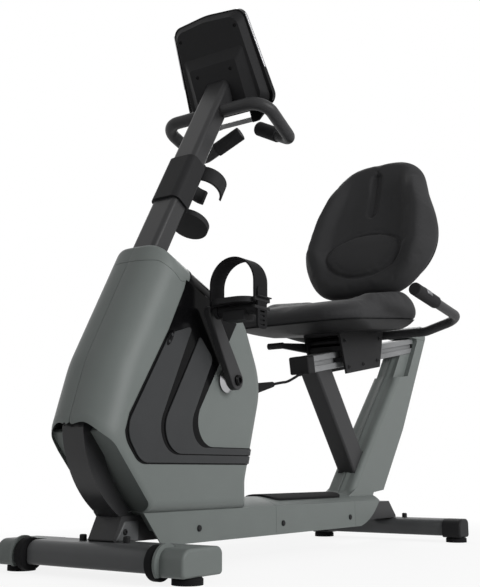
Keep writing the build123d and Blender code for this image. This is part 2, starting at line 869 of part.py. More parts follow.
save(crank_arm(1), "left_crank")
save(crank_arm(-1), "right_crank")


def pedal(hand):
    """Weighted foot platform that turns on the spindle."""
    x, z = crank_x + hand * reach_x, crank_z + hand * reach_z
    low, high = sorted((hand * (pedal_y - pedal_half), hand * (pedal_y + pedal_half)))
    with BuildPart() as body:
        with BuildSketch(Plane.XY.offset(z + pedal_base)):
            with Locations((x, hand * pedal_y)):
                RectangleRounded(pedal_length, 2 * pedal_half, pedal_round)
        extrude(amount=pedal_top - pedal_base)
        with BuildSketch(Plane.XY.offset(z + pedal_top)):
            with Locations((x, hand * pedal_y)):
                with GridLocations(0.36 * pedal_length, 0, 2, 1):
                    RectangleRounded(0.2 * pedal_length, 1.1 * pedal_half, 4)
        extrude(amount=-6, mode=Mode.SUBTRACT)
        add(rod((x, low, z), (x, high, z), 2 * spindle_radius))
        add(rod((x, low, z), (x, low + 10, z), 2 * spindle_radius + 3))
        add(rod((x, high - 10, z), (x, high, z), 2 * spindle_radius + 3))
        with Locations((x, hand * pedal_y, z + pedal_bottom - 8)):
            Box(40, pedal_half, 20)
        add(
            rod((x, 0, z), (x, hand * (spindle_end + 1), z), spindle_radius + run_gap),
            mode=Mode.SUBTRACT,
        )
    return body


def strap(hand):
    """Rubber band over the foot, with a slotted tail on the outer side."""
    x, z = crank_x + hand * reach_x, crank_z + hand * reach_z
    outer = pedal_half + strap_thickness
    spring = strap_height - outer
    foot = spindle_radius + 2
    with BuildPart() as band:
        with BuildSketch(Plane.YZ.offset(x - strap_width / 2)):
            with Locations((hand * pedal_y, z + (foot + spring) / 2)):
                Rectangle(2 * outer, spring - foot)
            with Locations((hand * pedal_y, z + spring)):
                Circle(outer)
            with Locations((hand * pedal_y, z + (foot + spring) / 2)):
                Rectangle(2 * pedal_half, spring - foot, mode=Mode.SUBTRACT)
            with Locations((hand * pedal_y, z + spring)):
                Circle(pedal_half, mode=Mode.SUBTRACT)
            with Locations((hand * pedal_y, z + foot - strap_height / 2)):
                Rectangle(3 * outer, strap_height, mode=Mode.SUBTRACT)
        extrude(amount=strap_width)
        tail_y = hand * (pedal_y + outer - 1)
        with BuildSketch(side(tail_y)):
            with Locations((x, z - 2)):
                RectangleRounded(0.7 * strap_width, 90, 8)
            with Locations((x, z - 20)):
                with GridLocations(0, 9.5, 1, 5):
                    RectangleRounded(0.35 * strap_width, 4, 1.5, mode=Mode.SUBTRACT)
        extrude(amount=-hand * (strap_thickness + 1))
    return band


save(pedal(1), "left_pedal")
save(pedal(-1), "right_pedal")
save(strap(1), "left_pedal_strap")
save(strap(-1), "right_pedal_strap")

# Seat rail: an aluminium extrusion with a running groove in each side
rail_cos, rail_sin = cos(radians(rail_slope)), sin(radians(rail_slope))
groove_half = 7.0
groove_depth = 9.0
rail_plane = Plane(origin=(rail_x, 0, rail_z), x_dir=(0, 1, 0), z_dir=(-rail_cos, 0, rail_sin))


def on_rail(along, up):
    """Side-view point at a distance back along the rail and above its centre line."""
    return (rail_x - along * rail_cos + up * rail_sin, rail_z + along * rail_sin + up * rail_cos)


with BuildPart() as seat_rail:
    with BuildSketch(rail_plane):
        RectangleRounded(rail_width, rail_depth, 3)
        RectangleRounded(rail_width - 32, rail_depth - 7, 2, mode=Mode.SUBTRACT)
        with GridLocations(rail_width, 0, 2, 1):
            Rectangle(2 * groove_depth, 2 * groove_half, mode=Mode.SUBTRACT)
    extrude(amount=rail_length)
save(seat_rail, "seat_rail")

with BuildPart() as rail_front_cap:
    with BuildSketch(rail_plane):
        RectangleRounded(rail_width + 2, rail_depth + 2, 5)
    extrude(amount=-rail_cap_length)
    fillet(rail_front_cap.faces().sort_by(Axis.X)[-1].edges(), 4)
    add(rod(gland_root, gland_tip, 6))
save(rail_front_cap, "rail_front_cap")


def meet(p, d, q, e):
    """Where the line through p along d crosses the line through q along e."""
    t = ((q[0] - p[0]) * e[1] - (q[1] - p[1]) * e[0]) / (d[0] * e[1] - d[1] * e[0])
    return (p[0] + t * d[0], p[1] + t * d[1])


rail_under = on_rail(0, -rail_depth / 2)
rail_way = (-rail_cos, rail_sin)
post_way = (-sin(radians(post_lean)), cos(radians(post_lean)))
post_front = (post_x + post_depth / 2 * post_way[1], post_z - post_depth / 2 * post_way[0])
post_rear = (post_x - post_depth / 2 * post_way[1], post_z + post_depth / 2 * post_way[0])
floor_line = ((0.0, beam_top), (1.0, 0.0))
post_corners = [
    meet(post_rear, post_way, *floor_line),
    meet(post_front, post_way, *floor_line),
    meet(post_front, post_way, rail_under, rail_way),
    meet(post_rear, post_way, rail_under, rail_way),
]
with BuildPart() as rear_post:
    add(prism(post_corners, 0, -post_half, post_half))
    inner = inset_outline(post_corners, [tube_wall] * 4)
    add(prism(inner, 0, tube_wall - post_half, post_half - tube_wall), mode=Mode.SUBTRACT)
save(rear_post, "rear_post")

brace_way = (sin(radians(brace_lean)), cos(radians(brace_lean)))
brace_top = meet(rail_under, rail_way, (brace_x, 0), (0, 1))
brace_front = (brace_top[0] + brace_depth / 2 * brace_way[1], brace_top[1] - brace_depth / 2 * brace_way[0])
brace_rear = (brace_top[0] - brace_depth / 2 * brace_way[1], brace_top[1] + brace_depth / 2 * brace_way[0])
brace_corners = [
    meet(brace_rear, brace_way, post_front, post_way),
    meet(brace_front, brace_way, post_front, post_way),
    meet(brace_front, brace_way, rail_under, rail_way),
    meet(brace_rear, brace_way, rail_under, rail_way),
]
with BuildPart() as seat_brace:
    add(prism(brace_corners, 0, -brace_half, brace_half))
    inner = inset_outline(brace_corners, [tube_wall] * 4)
    add(prism(inner, 0, tube_wall - brace_half, brace_half - tube_wall), mode=Mode.SUBTRACT)
    long_edges = [e for e in seat_brace.edges().filter_by(GeomType.LINE) if e.length > 2 * brace_depth]
    outer_edges = [e for e in long_edges if abs(abs(e.center().Y) - brace_half) < 0.1]
    fillet(outer_edges, 8)
save(seat_brace, "seat_brace")

# Upright cover: a slanted shell over the rear post, with a pocket for the rail on each side
upright_seam = 640.0
tail_x = 418.0 - half_length
upright_corners = [
    (step_rear_x + 20, cover_bottom + 20),
    (step_rear_x + 20, cover_shoulder),
    (step_rear_x - 33, cover_shoulder + 24),
    (388 - half_length, 335.0),
    (233 - half_length, 503.0),
    (123 - half_length, upright_seam + 13),
    (18 - half_length, upright_seam + 52),
    (-half_length - 2.5, upright_seam + 12),
    (198 - half_length, 334.0),
    (343 - half_length, 152.0),
    (step_rear_x - 43, cover_bottom + 6),
]
upright_radii = [0, 0, 40, 60, 60, 20, 12, 16, 60, 24, 0]
upright_rounds = [0, 0, 16, 16, 16, 12, 12, 10, 10, 0, 0]
upright_levels = (0, 0.3, 0.6, 0.72, 0.83, 0.93, 1.0)
pocket_corners = [
    (313 - half_length, upright_seam),
    (71 - half_length, upright_seam),
    (158 - half_length, 509.0),
    (313 - half_length, 490.0),
]


def upright_block(inset):
    """Solid of the upright, or of its hollow, with the rail pockets left out."""
    half = upright_half - inset
    floor = pocket_half - inset
    pocket = inset_outline(pocket_corners, [-inset] * 4)

    def insets_at(level):
        insets = []
        for reach in upright_rounds:
            roll = rounded_inset(level, half, reach - inset) if reach > inset else 0.0
            insets.append(inset + roll)
        if inset > 0:
            insets[-2:] = [-20.0, -20.0]
        return insets

    levels = [level * half for level in upright_levels]
    with BuildPart() as block:
        add(rolled_half(upright_corners, upright_radii, levels, insets_at))
        mirror(about=Plane.XZ)
        add(prism(pocket, 8, floor, 2 * half), mode=Mode.SUBTRACT)
        add(prism(pocket, 8, -2 * half, -floor), mode=Mode.SUBTRACT)
    return block.part


def below_tail(grow):
    """Everything under the curved tail of the base, a distance above it."""
    start = (step_rear_x - 33 + grow, cover_bottom)
    middle = (step_rear_x - 112 + 0.6 * grow, cover_bottom + 33 + 0.8 * grow)
    end = (tail_x, cover_crown + grow)
    with BuildPart() as region:
        with BuildSketch(side(stab_half)):
            with BuildLine():
                ThreePointArc(start, middle, end)
                Polyline(
                    end,
                    (343 - half_length, 152 + grow),
                    (-half_length, 152 + grow),
                    (-half_length, 0),
                    (start[0], 0),
                    start,
                )
            make_face()
        extrude(amount=2 * stab_half)
    return region.part


with BuildPart() as upright_hollow:
    add(upright_block(wall))
    add(cover_run(tail_x + wall, step_rear_x, wall))
    add(below_tail(wall), mode=Mode.SUBTRACT)
beam_room = inset_outline(beam_corners, [-fit_gap] * 4)
brace_room = inset_outline(brace_corners, [-fit_gap] * 4)
post_room = inset_outline(post_corners, [-fit_gap] * 4)
with BuildPart() as upright_shell:
    add(upright_block(0))
    add(cover_run(tail_x, step_rear_x, 0))
    add(upright_hollow.part, mode=Mode.SUBTRACT)
    add(below_tail(0), mode=Mode.SUBTRACT)
    add(prism(beam_room, 0, -beam_half - fit_gap, beam_half + fit_gap), mode=Mode.SUBTRACT)
    with Locations((step_rear_x, 0, 0)):
        Box(100, 400, 400, align=(Align.MIN, Align.CENTER, Align.CENTER), mode=Mode.SUBTRACT)
    with BuildSketch(rail_plane):
        Rectangle(rail_width + 2 * fit_gap, rail_depth + 2 * fit_gap)
    extrude(amount=rail_length + fit_gap, mode=Mode.SUBTRACT)
    add(prism(brace_room, 0, -brace_half - fit_gap, brace_half + fit_gap), mode=Mode.SUBTRACT)
    add(prism(post_room, 0, -post_half - fit_gap, post_half + fit_gap), mode=Mode.SUBTRACT)


def above_seam(gap):
    """Everything over the seam of the upright's cap, from a gap below it."""
    region = [
        (-half_length - 60, upright_seam - gap),
        (313 - half_length, upright_seam - gap),
        (313 - half_length, upright_seam + 120),
        (-half_length - 60, upright_seam + 120),
    ]
    return prism(region, 0, -stab_half, stab_half)


with BuildPart() as upright_cover:
    add(upright_shell.part)
    add(above_seam(seam_gap), mode=Mode.SUBTRACT)
    add(upright_cover.solids().sort_by(SortBy.VOLUME)[-1], mode=Mode.REPLACE)
with BuildPart() as upright_cap:
    add(upright_shell.part)
    add(above_seam(0), mode=Mode.INTERSECT)
    add(upright_cap.solids().sort_by(SortBy.VOLUME)[-1], mode=Mode.REPLACE)
save(upright_cover, "upright_cover")
save(upright_cap, "upright_cap")

# Seat: carriage on the rail, pan and cushion
seat_plane = Plane(
    origin=(seat_x, 0, seat_z),
    x_dir=(cos(radians(seat_slope)), 0, -sin(radians(seat_slope))),
    z_dir=(sin(radians(seat_slope)), 0, cos(radians(seat_slope))),
)


def on_seat(along, up):
    """Side-view point in the seat's tilted frame: forward along it and above its belly."""
    spot = seat_plane.from_local_coords((along, 0, up))
    return (spot.X, spot.Z)


carriage_corners = [on_rail(127, -41), on_seat(42, 0), on_seat(-234, 0), on_rail(339, -42)]
glides = (124.0, 312.0)
glide_length = 28.0
with BuildPart() as seat_carriage:
    add(prism(carriage_corners, 0, carriage_half - carriage_plate, carriage_half))
    for along in glides:
        shoe = [
            on_rail(along, fit_gap - groove_half),
            on_rail(along + glide_length, fit_gap - groove_half),
            on_rail(along + glide_length, groove_half - fit_gap),
            on_rail(along, groove_half - fit_gap),
        ]
        inner_y = rail_width / 2 - groove_depth + 1
        add(prism(shoe, 0, inner_y, carriage_half))
        saddle = [
            on_rail(along, rail_depth / 2 + fit_gap),
            on_rail(along + glide_length, rail_depth / 2 + fit_gap),
            on_rail(along + glide_length, rail_depth / 2 + 16),
            on_rail(along, rail_depth / 2 + 16),
        ]
        add(prism(saddle, 0, 0, carriage_half))
    plate = [on_seat(39, -8), on_seat(42, 0), on_seat(-234, 0), on_seat(-229, -8)]
    add(prism(plate, 0, 0, carriage_half))
    mirror(about=Plane.XZ)
    roller = on_rail(135, 52)
    add(rod((roller[0], -carriage_half, roller[1]), (roller[0], carriage_half, roller[1]), 7))
    add(rod((lever_x, carriage_plate - carriage_half, lever_z), (lever_x, -carriage_half - 15, lever_z), 6))
save(seat_carriage, "seat_carriage")

with BuildPart() as seat_lever:
    with BuildSketch(side(-carriage_half - 2)):
        with BuildLine() as lever_rounds:
            CenterArc((lever_x, lever_z), 15, 0, 360)
            CenterArc((lever_x + lever_length, lever_z - 8), 7, 0, 360)
        make_hull(lever_rounds.edges())
        with Locations((lever_x, lever_z)):
            Circle(6 + run_gap, mode=Mode.SUBTRACT)
    extrude(amount=10)
    add(
        rod(
            (lever_x + lever_length, -carriage_half - 2, lever_z - 8),
            (lever_x + lever_length, -carriage_half - 50, lever_z - 8),
            9,
        )
    )
save(seat_lever, "seat_lever")


def seat_face(plane, inset, short=0):
    """Rounded seat outline on a plane, drawn in by an inset and shorter in front."""
    length = seat_length - 2 * inset - short
    with BuildSketch(plane) as face:
        with Locations((-short / 2, 0)):
            RectangleRounded(length, seat_width - 2 * inset, seat_radius - 0.6 * inset)
    return face.sketch


def tilted(up, tilt):
    """Plane across the seat at a height above its belly, raised at the rear by a tilt."""
    turn = radians(seat_slope + tilt)
    return Plane(
        origin=seat_plane.from_local_coords((0, 0, up)),
        x_dir=(cos(turn), 0, -sin(turn)),
        z_dir=(sin(turn), 0, cos(turn)),
    )


with BuildPart() as seat_pan:
    loft([
        seat_face(seat_plane, 45, 110),
        seat_face(seat_plane.offset(0.55 * pan_depth), 20, 45),
        seat_face(seat_plane.offset(pan_depth), 9),
    ])
save(seat_pan, "seat_pan")
with BuildPart() as seat_cushion:
    loft([
        seat_face(seat_plane.offset(pan_depth), 9),
        seat_face(tilted(pan_depth + 0.25 * cushion_height, 0.8), 0),
        seat_face(tilted(pan_depth + 0.6 * cushion_height, 2.4), 4),
        seat_face(tilted(pan_depth + 0.88 * cushion_height, 3.4), 26),
        seat_face(tilted(pan_depth + cushion_height, 3.4), 85),
    ])
save(seat_cushion, "seat_cushion")

# Backrest: frame strip, shell and cushion
back_plane = Plane(
    origin=(backrest_x, 0, backrest_z),
    x_dir=(0, 1, 0),
    z_dir=(cos(radians(backrest_lean)), 0, sin(radians(backrest_lean))),
)
back_half = [
    (60, 4),
    (130, 14),
    (198, 66),
    (232, 150),
    (215, 275),
    (178, 372),
    (152, 444),
    (98, 491),
    (34, backrest_height),
]


def back_face(level, scale):
    """Backrest outline at a level in front of its face, scaled about its middle."""
    middle = backrest_height / 2
    right = [(x * scale, middle + (v - middle) * scale) for x, v in back_half]
    left = [(-x, v) for x, v in reversed(right)]
    with BuildSketch(back_plane.offset(level)) as face:
        with BuildLine():
            Spline(*right, *left, periodic=True)
        make_face()
    return face.sketch


with BuildPart() as backrest_cushion:
    loft([
        back_face(-cushion_thickness, 0.96),
        back_face(-0.7 * cushion_thickness, 1.0),
        back_face(-0.3 * cushion_thickness, 0.985),
        back_face(0, 0.88),
    ])
    with BuildSketch(back_plane):
        with Locations((0, 365)):
            SlotOverall(190, 14, rotation=90)
        with Locations((0, 140)):
            Ellipse(110, 84)
            Ellipse(103, 77, mode=Mode.SUBTRACT)
    extrude(amount=-6, mode=Mode.SUBTRACT)
save(backrest_cushion, "backrest_cushion")
shell_level = -cushion_thickness - shell_thickness
with BuildPart() as backrest_shell:
    loft([
        back_face(shell_level, 0.78),
        back_face(shell_level + 0.5 * shell_thickness, 0.9),
        back_face(-cushion_thickness, 0.96),
    ])
save(backrest_shell, "backrest_shell")


def on_back(up, level):
    """Side-view point up the backrest and in front of its face."""
    spot = back_plane.from_local_coords((0, up, level))
    return (spot.X, spot.Z)


strip = 24.0
frame_half = 30.0
lug_way = (
    carriage_corners[3][0] - carriage_corners[2][0],
    carriage_corners[3][1] - carriage_corners[2][1],
)
lug_edge = meet(carriage_corners[2], lug_way, (0, handle_z - 21), (1, 0))
frame_corners = [
    carriage_corners[2],
    (handle_x - 22, handle_z + 27),
    on_back(0, shell_level),
    on_back(210, shell_level),
    on_back(210, shell_level - strip),
    on_back(0, shell_level - strip),
    (handle_x - 46, handle_z + 11),
    (handle_x - 16, handle_z - 21),
    lug_edge,
]
with BuildPart() as backrest_frame:
    add(prism(frame_corners, [0, 14, 0, 0, 10, 30, 30, 20, 0], -frame_half, frame_half))
    add(
        rod((handle_x, -stab_half, handle_z), (handle_x, stab_half, handle_z), handle_radius),
        mode=Mode.SUBTRACT,
    )
save(backrest_frame, "backrest_frame")

handle_end = (handle_x + 307, handle_y, handle_z + 71)
handle_bend = (handle_x, handle_y, handle_z + 31)
handle_knee = (handle_x, handle_y - 110, handle_z)


def other_side(point):
    """The same point on the rider's right."""
    return (point[0], -point[1], point[2])


with BuildPart() as seat_handlebar:
    add(
        bent_tube(
            [handle_end, handle_bend, handle_knee,
             other_side(handle_knee), other_side(handle_bend), other_side(handle_end)],
            [45, 60, 60, 45],
            handle_radius,
            handle_radius - 2,
        )
    )
save(seat_handlebar, "seat_handlebar")


def grip(end, bend, length, outer, inner):
    """Sleeve on the last stretch of a bar, with a closed rounded end."""
    end, bend = Vector(*end), Vector(*bend)
    way = (bend - end).normalized()
    with BuildPart() as sleeve:
        add(rod(end - way * 4, end + way * length, outer))
        ends = sleeve.edges().filter_by(GeomType.CIRCLE)
        fillet(ends, 3)
        add(rod(end, end + way * (length + 4), inner), mode=Mode.SUBTRACT)
    return sleeve.part


with BuildPart() as seat_grips:
    add(grip(handle_end, handle_bend, 135, handle_radius + 4, handle_radius))
    mirror(about=Plane.XZ)
save(seat_grips, "seat_grips")

# Front handlebar
bar_end = (bar_x - 170, 33.0, bar_z + 5)
bar_turn = (bar_x - 146, 145.0, bar_z - 56)
bar_side = (bar_x, 158.0, bar_z)
with BuildPart() as front_handlebar:
    add(
        bent_tube(
            [bar_end, bar_turn, bar_side, other_side(bar_side), other_side(bar_turn), other_side(bar_end)],
            [26, 45, 45, 26],
            bar_radius,
            bar_radius - 2,
        )
    )
save(front_handlebar, "front_handlebar")
with BuildPart() as front_grips:
    add(grip(bar_end, bar_turn, 78, bar_radius + 3, bar_radius))
    mirror(about=Plane.XZ)
save(front_grips, "front_grips")

# Console: back housing, bezel, screen, dial and tablet ledge
console_plane = Plane(
    origin=(console_x, 0, console_z),
    x_dir=(0, -1, 0),
    z_dir=(-cos(radians(console_lean)), 0, sin(radians(console_lean))),
)
tray_corners = [
    (6 - console_half_bottom, -console_drop),
    (console_half_bottom - 6, -console_drop),
    (console_half_top, console_height - 10),
    (0, console_height),
    (-console_half_top, console_height - 10),
]
tray_radii = [30, 30, 28, 200, 28]
bezel_corners = [
    (-ledge_half - 14, -ledge_drop),
    (ledge_half + 14, -ledge_drop),
    (console_half_bottom, -8),
    (console_half_top, console_height - 10),
    (0, console_height),
    (-console_half_top, console_height - 10),
    (-console_half_bottom, -8),
]
bezel_radii = [8, 8, 30, 28, 200, 28, 30]
boss_front = [(-104, -6), (104, -6), (97, 146), (-97, 146)]
boss_back = [(-74, -2), (74, -2), (72, 113), (-72, 113)]


def console_face(level, corners, radii, inset):
    """Outline on the console at a level towards the rider, drawn in by an inset."""
    spots = inset_outline(corners, [inset] * len(corners))
    with BuildSketch(console_plane.offset(level)) as face:
        with BuildLine():
            FilletPolyline(*spots, radius=radii, close=True)
        make_face()
    return face.sketch


with BuildPart() as mast:
    with BuildSketch(mast_plane.offset(-mast_below)):
        RectangleRounded(mast_depth, mast_width, mast_radius)
    extrude(amount=mast_below + mast_above + 60)
    with BuildSketch(mast_plane.offset(-leg_top)):
        RectangleRounded(mast_depth - 2 * wall, mast_width - 2 * wall, mast_radius - wall)
    extrude(amount=leg_top + mast_above + 60, mode=Mode.SUBTRACT)
    with BuildSketch(mast_plane.offset(-mast_below)):
        Rectangle(2 * (stub_half_depth + fit_gap), 2 * (stub_half_width + fit_gap))
    extrude(amount=mast_below, mode=Mode.SUBTRACT)
    add(rod((bar_x, -mast_width, bar_z), (bar_x, mast_width, bar_z), bar_radius), mode=Mode.SUBTRACT)
    split(bisect_by=console_plane.offset(-2 * wall), keep=Keep.BOTTOM)
save(mast, "mast")

def console_housing(inset):
    """Tray of the console with the block round the mast, or their hollow."""
    with BuildPart() as housing:
        loft([
            console_face(inset - console_back_depth, tray_corners, tray_radii, 16 + 0.6 * inset),
            console_face(0, tray_corners, tray_radii, 3 + inset),
        ])
        loft([
            console_face(inset - console_boss_depth, boss_back, 8, inset),
            console_face(4 - console_back_depth, boss_front, 8, inset),
        ])
    return housing.part


with BuildPart() as console_back:
    add(console_housing(0))
    add(console_housing(wall), mode=Mode.SUBTRACT)
    with BuildSketch(mast_plane):
        RectangleRounded(mast_depth + 2 * fit_gap, mast_width + 2 * fit_gap, mast_radius)
    extrude(amount=mast_above + 90, mode=Mode.SUBTRACT)
save(console_back, "console_back")

dial_spot = (0, 34)
dial_radius = 17.0
with BuildPart() as console_bezel:
    extrude(console_face(0, bezel_corners, bezel_radii, 0), amount=bezel_depth)
    with BuildSketch(console_plane):
        with Locations((0, -console_drop - ledge_drop)):
            Rectangle(2 * ledge_half, 2 * ledge_drop)
    extrude(amount=bezel_depth, mode=Mode.SUBTRACT)
    with BuildSketch(console_plane.offset(bezel_depth)):
        with Locations((0, console_height / 2 + 24)):
            RectangleRounded(170, 130, 8)
    extrude(amount=-6, mode=Mode.SUBTRACT)
    with BuildSketch(console_plane.offset(bezel_depth)):
        with Locations(dial_spot):
            Circle(6 + run_gap)
    extrude(amount=-bezel_depth, mode=Mode.SUBTRACT)
save(console_bezel, "console_bezel")
with BuildPart() as console_screen:
    with BuildSketch(console_plane.offset(bezel_depth - 6)):
        with Locations((0, console_height / 2 + 24)):
            RectangleRounded(170, 130, 8)
    extrude(amount=4)
save(console_screen, "console_screen")
with BuildPart() as console_dial:
    with BuildSketch(console_plane.offset(bezel_depth + 1)):
        with Locations(dial_spot):
            Circle(dial_radius)
            with PolarLocations(dial_radius, 18):
                Circle(1.2, mode=Mode.SUBTRACT)
    extrude(amount=12)
    with BuildSketch(console_plane.offset(2)):
        with Locations(dial_spot):
            Circle(6)
    extrude(amount=bezel_depth)
save(console_dial, "console_dial")
with BuildPart() as tablet_ledge:
    with BuildSketch(console_plane.offset(-4)):
        with Locations((0, 7.5 - ledge_drop)):
            Rectangle(2 * ledge_half, ledge_height)
    extrude(amount=2 * bezel_depth)
save(tablet_ledge, "tablet_ledge")

# Bottle holder on a collar round the mast
ring_back = -(bottle_radius + mast_depth / 2 + 13)
with BuildPart() as bottle_holder:
    with BuildSketch(mast_plane.offset(holder_low)):
        RectangleRounded(mast_depth + 12, mast_width + 12, mast_radius + 6)
    extrude(amount=holder_high - holder_low)
    with BuildSketch(mast_plane.offset(ring_low)):
        with Locations((ring_back, 0)):
            Circle(bottle_radius + 6)
    extrude(amount=ring_high - ring_low)
    with BuildSketch(mast_plane.offset(dish_low)):
        with Locations((ring_back, 0)):
            Circle(bottle_radius + 5)
    extrude(amount=14)
    with BuildSketch(mast_plane.offset(dish_low)):
        with Locations((-mast_depth / 2 - 8, 0)):
            Rectangle(12, 44)
    extrude(amount=ring_high - dish_low)
    with BuildSketch(mast_plane.offset(dish_low + 4)):
        with Locations((ring_back, 0)):
            Circle(bottle_radius)
    extrude(amount=ring_high - dish_low, mode=Mode.SUBTRACT)
    with BuildSketch(mast_plane.offset(ring_low)):
        with Locations((ring_back - bottle_radius, 0)):
            Rectangle(bottle_radius, 1.28 * bottle_radius)
    extrude(amount=ring_high - ring_low, mode=Mode.SUBTRACT)
    with BuildSketch(mast_plane):
        RectangleRounded(mast_depth, mast_width, mast_radius)
    extrude(amount=mast_above, mode=Mode.SUBTRACT)
save(bottle_holder, "bottle_holder")

# Bolts: domes on the beam covers and on the stabilizers
with BuildPart() as cover_bolts:
    for x, z in ((481.0, 85.0), (143.0, 81.0), (-199.0, 82.0)):
        add(rod((x, cover_half, z), (x, cover_half + 4, z), 7))
    for x in (front_stab_x, rear_stab_x):
        add(rod((x, 60, stab_top), (x, 60, stab_top + 13), 7.5))
    rims = cover_bolts.edges().filter_by(GeomType.CIRCLE)
    fillet([e for e in rims if e.center().Y > cover_half + 1 or e.center().Z > stab_top + 4.9
            and e.center().Y < cover_half - 1], 3)
    mirror(about=Plane.XZ)
save(cover_bolts, "cover_bolts")
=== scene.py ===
# %% [markdown]
# # A recumbent exercise bike
# The bike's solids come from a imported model. This lesson dresses them: it adds soft cushions,
# trim and small fittings, gives every surface a finish made of nodes, and sets up a studio.

# %% Load the bike
from math import cos, pi, radians, sin

import bmesh
import bpy
from mathutils import Matrix, Vector


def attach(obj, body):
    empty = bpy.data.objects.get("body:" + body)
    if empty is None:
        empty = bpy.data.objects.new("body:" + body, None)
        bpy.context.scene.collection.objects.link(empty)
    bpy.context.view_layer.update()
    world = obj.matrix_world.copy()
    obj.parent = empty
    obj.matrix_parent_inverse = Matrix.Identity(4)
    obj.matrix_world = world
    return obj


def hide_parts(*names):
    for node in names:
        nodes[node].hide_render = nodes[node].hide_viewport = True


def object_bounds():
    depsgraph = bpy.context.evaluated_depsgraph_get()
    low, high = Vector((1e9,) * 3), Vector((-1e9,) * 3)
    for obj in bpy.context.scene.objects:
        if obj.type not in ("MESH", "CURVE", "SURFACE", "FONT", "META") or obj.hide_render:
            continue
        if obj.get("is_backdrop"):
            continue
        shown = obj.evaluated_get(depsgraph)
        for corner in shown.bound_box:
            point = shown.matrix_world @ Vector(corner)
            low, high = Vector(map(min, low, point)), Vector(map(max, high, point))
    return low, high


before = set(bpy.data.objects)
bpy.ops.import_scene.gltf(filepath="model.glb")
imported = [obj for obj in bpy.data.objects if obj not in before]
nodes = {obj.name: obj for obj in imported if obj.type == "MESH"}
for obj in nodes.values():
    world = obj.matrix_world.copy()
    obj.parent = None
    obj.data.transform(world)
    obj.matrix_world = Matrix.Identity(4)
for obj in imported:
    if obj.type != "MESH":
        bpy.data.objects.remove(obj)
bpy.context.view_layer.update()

# %% [markdown]
# ## The camera
# The photograph was taken from low down, ahead of the bike on the rider's left. The bike's
# straight edges give the camera's place: about 0.2 m above the floor, tipped up by 11 degrees.

# %% Camera
scene = bpy.context.scene
scene.view_settings.view_transform = "Standard"
yaw, pitch = radians(35.209), radians(10.728)
look = Vector((-cos(yaw) * cos(pitch), -sin(yaw) * cos(pitch), sin(pitch)))
camera = bpy.data.objects.new("camera", bpy.data.cameras.new("camera"))
scene.collection.objects.link(camera)
camera.location = (2.13203, 1.34381, 0.20882)
camera.rotation_euler = look.to_track_quat("-Z", "Y").to_euler()
camera.data.lens = 57.2
camera.data.sensor_width = 36.0
camera.data.clip_end = 60.0
scene.camera = camera
print("camera at", tuple(round(v, 3) for v in camera.location))

# %% [markdown]
# ## Finishes
# Nothing on a real bike has one flat colour. Moulded plastic has a fine spark texture, powder
# coat has orange peel, and aluminium has drawn lines. One helper makes all of them: a coarse
# noise shifts the colour and the roughness a little, and a fine one drives the bump. All patterns
# read Object coordinates, so they stay in place when a piece moves.

# %% A helper for finishes
def from_screen(red, green, blue):
    """Linear colour of a screen colour from 0 to 255."""
    def straighten(value):
        value /= 255
        return value / 12.92 if value <= 0.04045 else ((value + 0.055) / 1.055) ** 2.4

    return (straighten(red), straighten(green), straighten(blue), 1.0)


def new_finish(name, colour, roughness, metal=0.0, grain=900.0, bump=0.05, drift=0.12,
               stretch=(1, 1, 1), turn=0.0, coat=0.0, sheen=0.0, worn=0.06, shine=0.5):
    """Finish with a drifting colour, an uneven gloss and a fine grain."""
    finish = bpy.data.materials.new(name)
    finish.use_nodes = True
    tree = finish.node_tree
    shader = tree.nodes["Principled BSDF"]
    shader.inputs["Metallic"].default_value = metal
    shader.inputs["Specular IOR Level"].default_value = shine
    shader.inputs["Coat Weight"].default_value = coat
    shader.inputs["Coat Roughness"].default_value = 0.12
    shader.inputs["Sheen Weight"].default_value = sheen
    place = tree.nodes.new("ShaderNodeTexCoord")
    turned = tree.nodes.new("ShaderNodeMapping")
    turned.inputs["Rotation"].default_value = (0, turn, 0)
    turned.inputs["Scale"].default_value = stretch
    tree.links.new(place.outputs["Object"], turned.inputs["Vector"])

    broad = tree.nodes.new("ShaderNodeTexNoise")
    broad.inputs["Scale"].default_value = 14.0
    broad.inputs["Detail"].default_value = 4.0
    tree.links.new(place.outputs["Object"], broad.inputs["Vector"])
    tones = tree.nodes.new("ShaderNodeValToRGB")
    dark = [channel * (1 - drift) for channel in colour[:3]]
    light = [min(1.0, channel * (1 + drift)) for channel in colour[:3]]
    tones.color_ramp.elements[0].position = 0.3
    tones.color_ramp.elements[0].color = (*dark, 1)
    tones.color_ramp.elements[1].position = 0.7
    tones.color_ramp.elements[1].color = (*light, 1)
    tree.links.new(broad.outputs["Fac"], tones.inputs["Fac"])
    tree.links.new(tones.outputs["Color"], shader.inputs["Base Color"])

    fine = tree.nodes.new("ShaderNodeTexNoise")
    fine.inputs["Scale"].default_value = grain
    fine.inputs["Detail"].default_value = 2.0
    tree.links.new(turned.outputs["Vector"], fine.inputs["Vector"])
    gloss = tree.nodes.new("ShaderNodeMapRange")
    gloss.inputs["To Min"].default_value = max(0.02, roughness - worn)
    gloss.inputs["To Max"].default_value = min(1.0, roughness + worn)
    tree.links.new(broad.outputs["Fac"], gloss.inputs["Value"])
    tree.links.new(gloss.outputs["Result"], shader.inputs["Roughness"])
    relief = tree.nodes.new("ShaderNodeBump")
    relief.inputs["Strength"].default_value = bump
    relief.inputs["Distance"].default_value = 0.0006
    tree.links.new(fine.outputs["Fac"], relief.inputs["Height"])
    tree.links.new(relief.outputs["Normal"], shader.inputs["Normal"])
    return finish


def dress(finish, *names):
    """Put one finish on the solids with these names."""
    for name in names:
        mesh = nodes[name].data
        mesh.materials.clear()
        mesh.materials.append(finish)


# %% [markdown]
# The shroud and the other large covers are one grey moulding with a satin skin. The petals on
# its sides are darker, and the bands round them are gloss black.

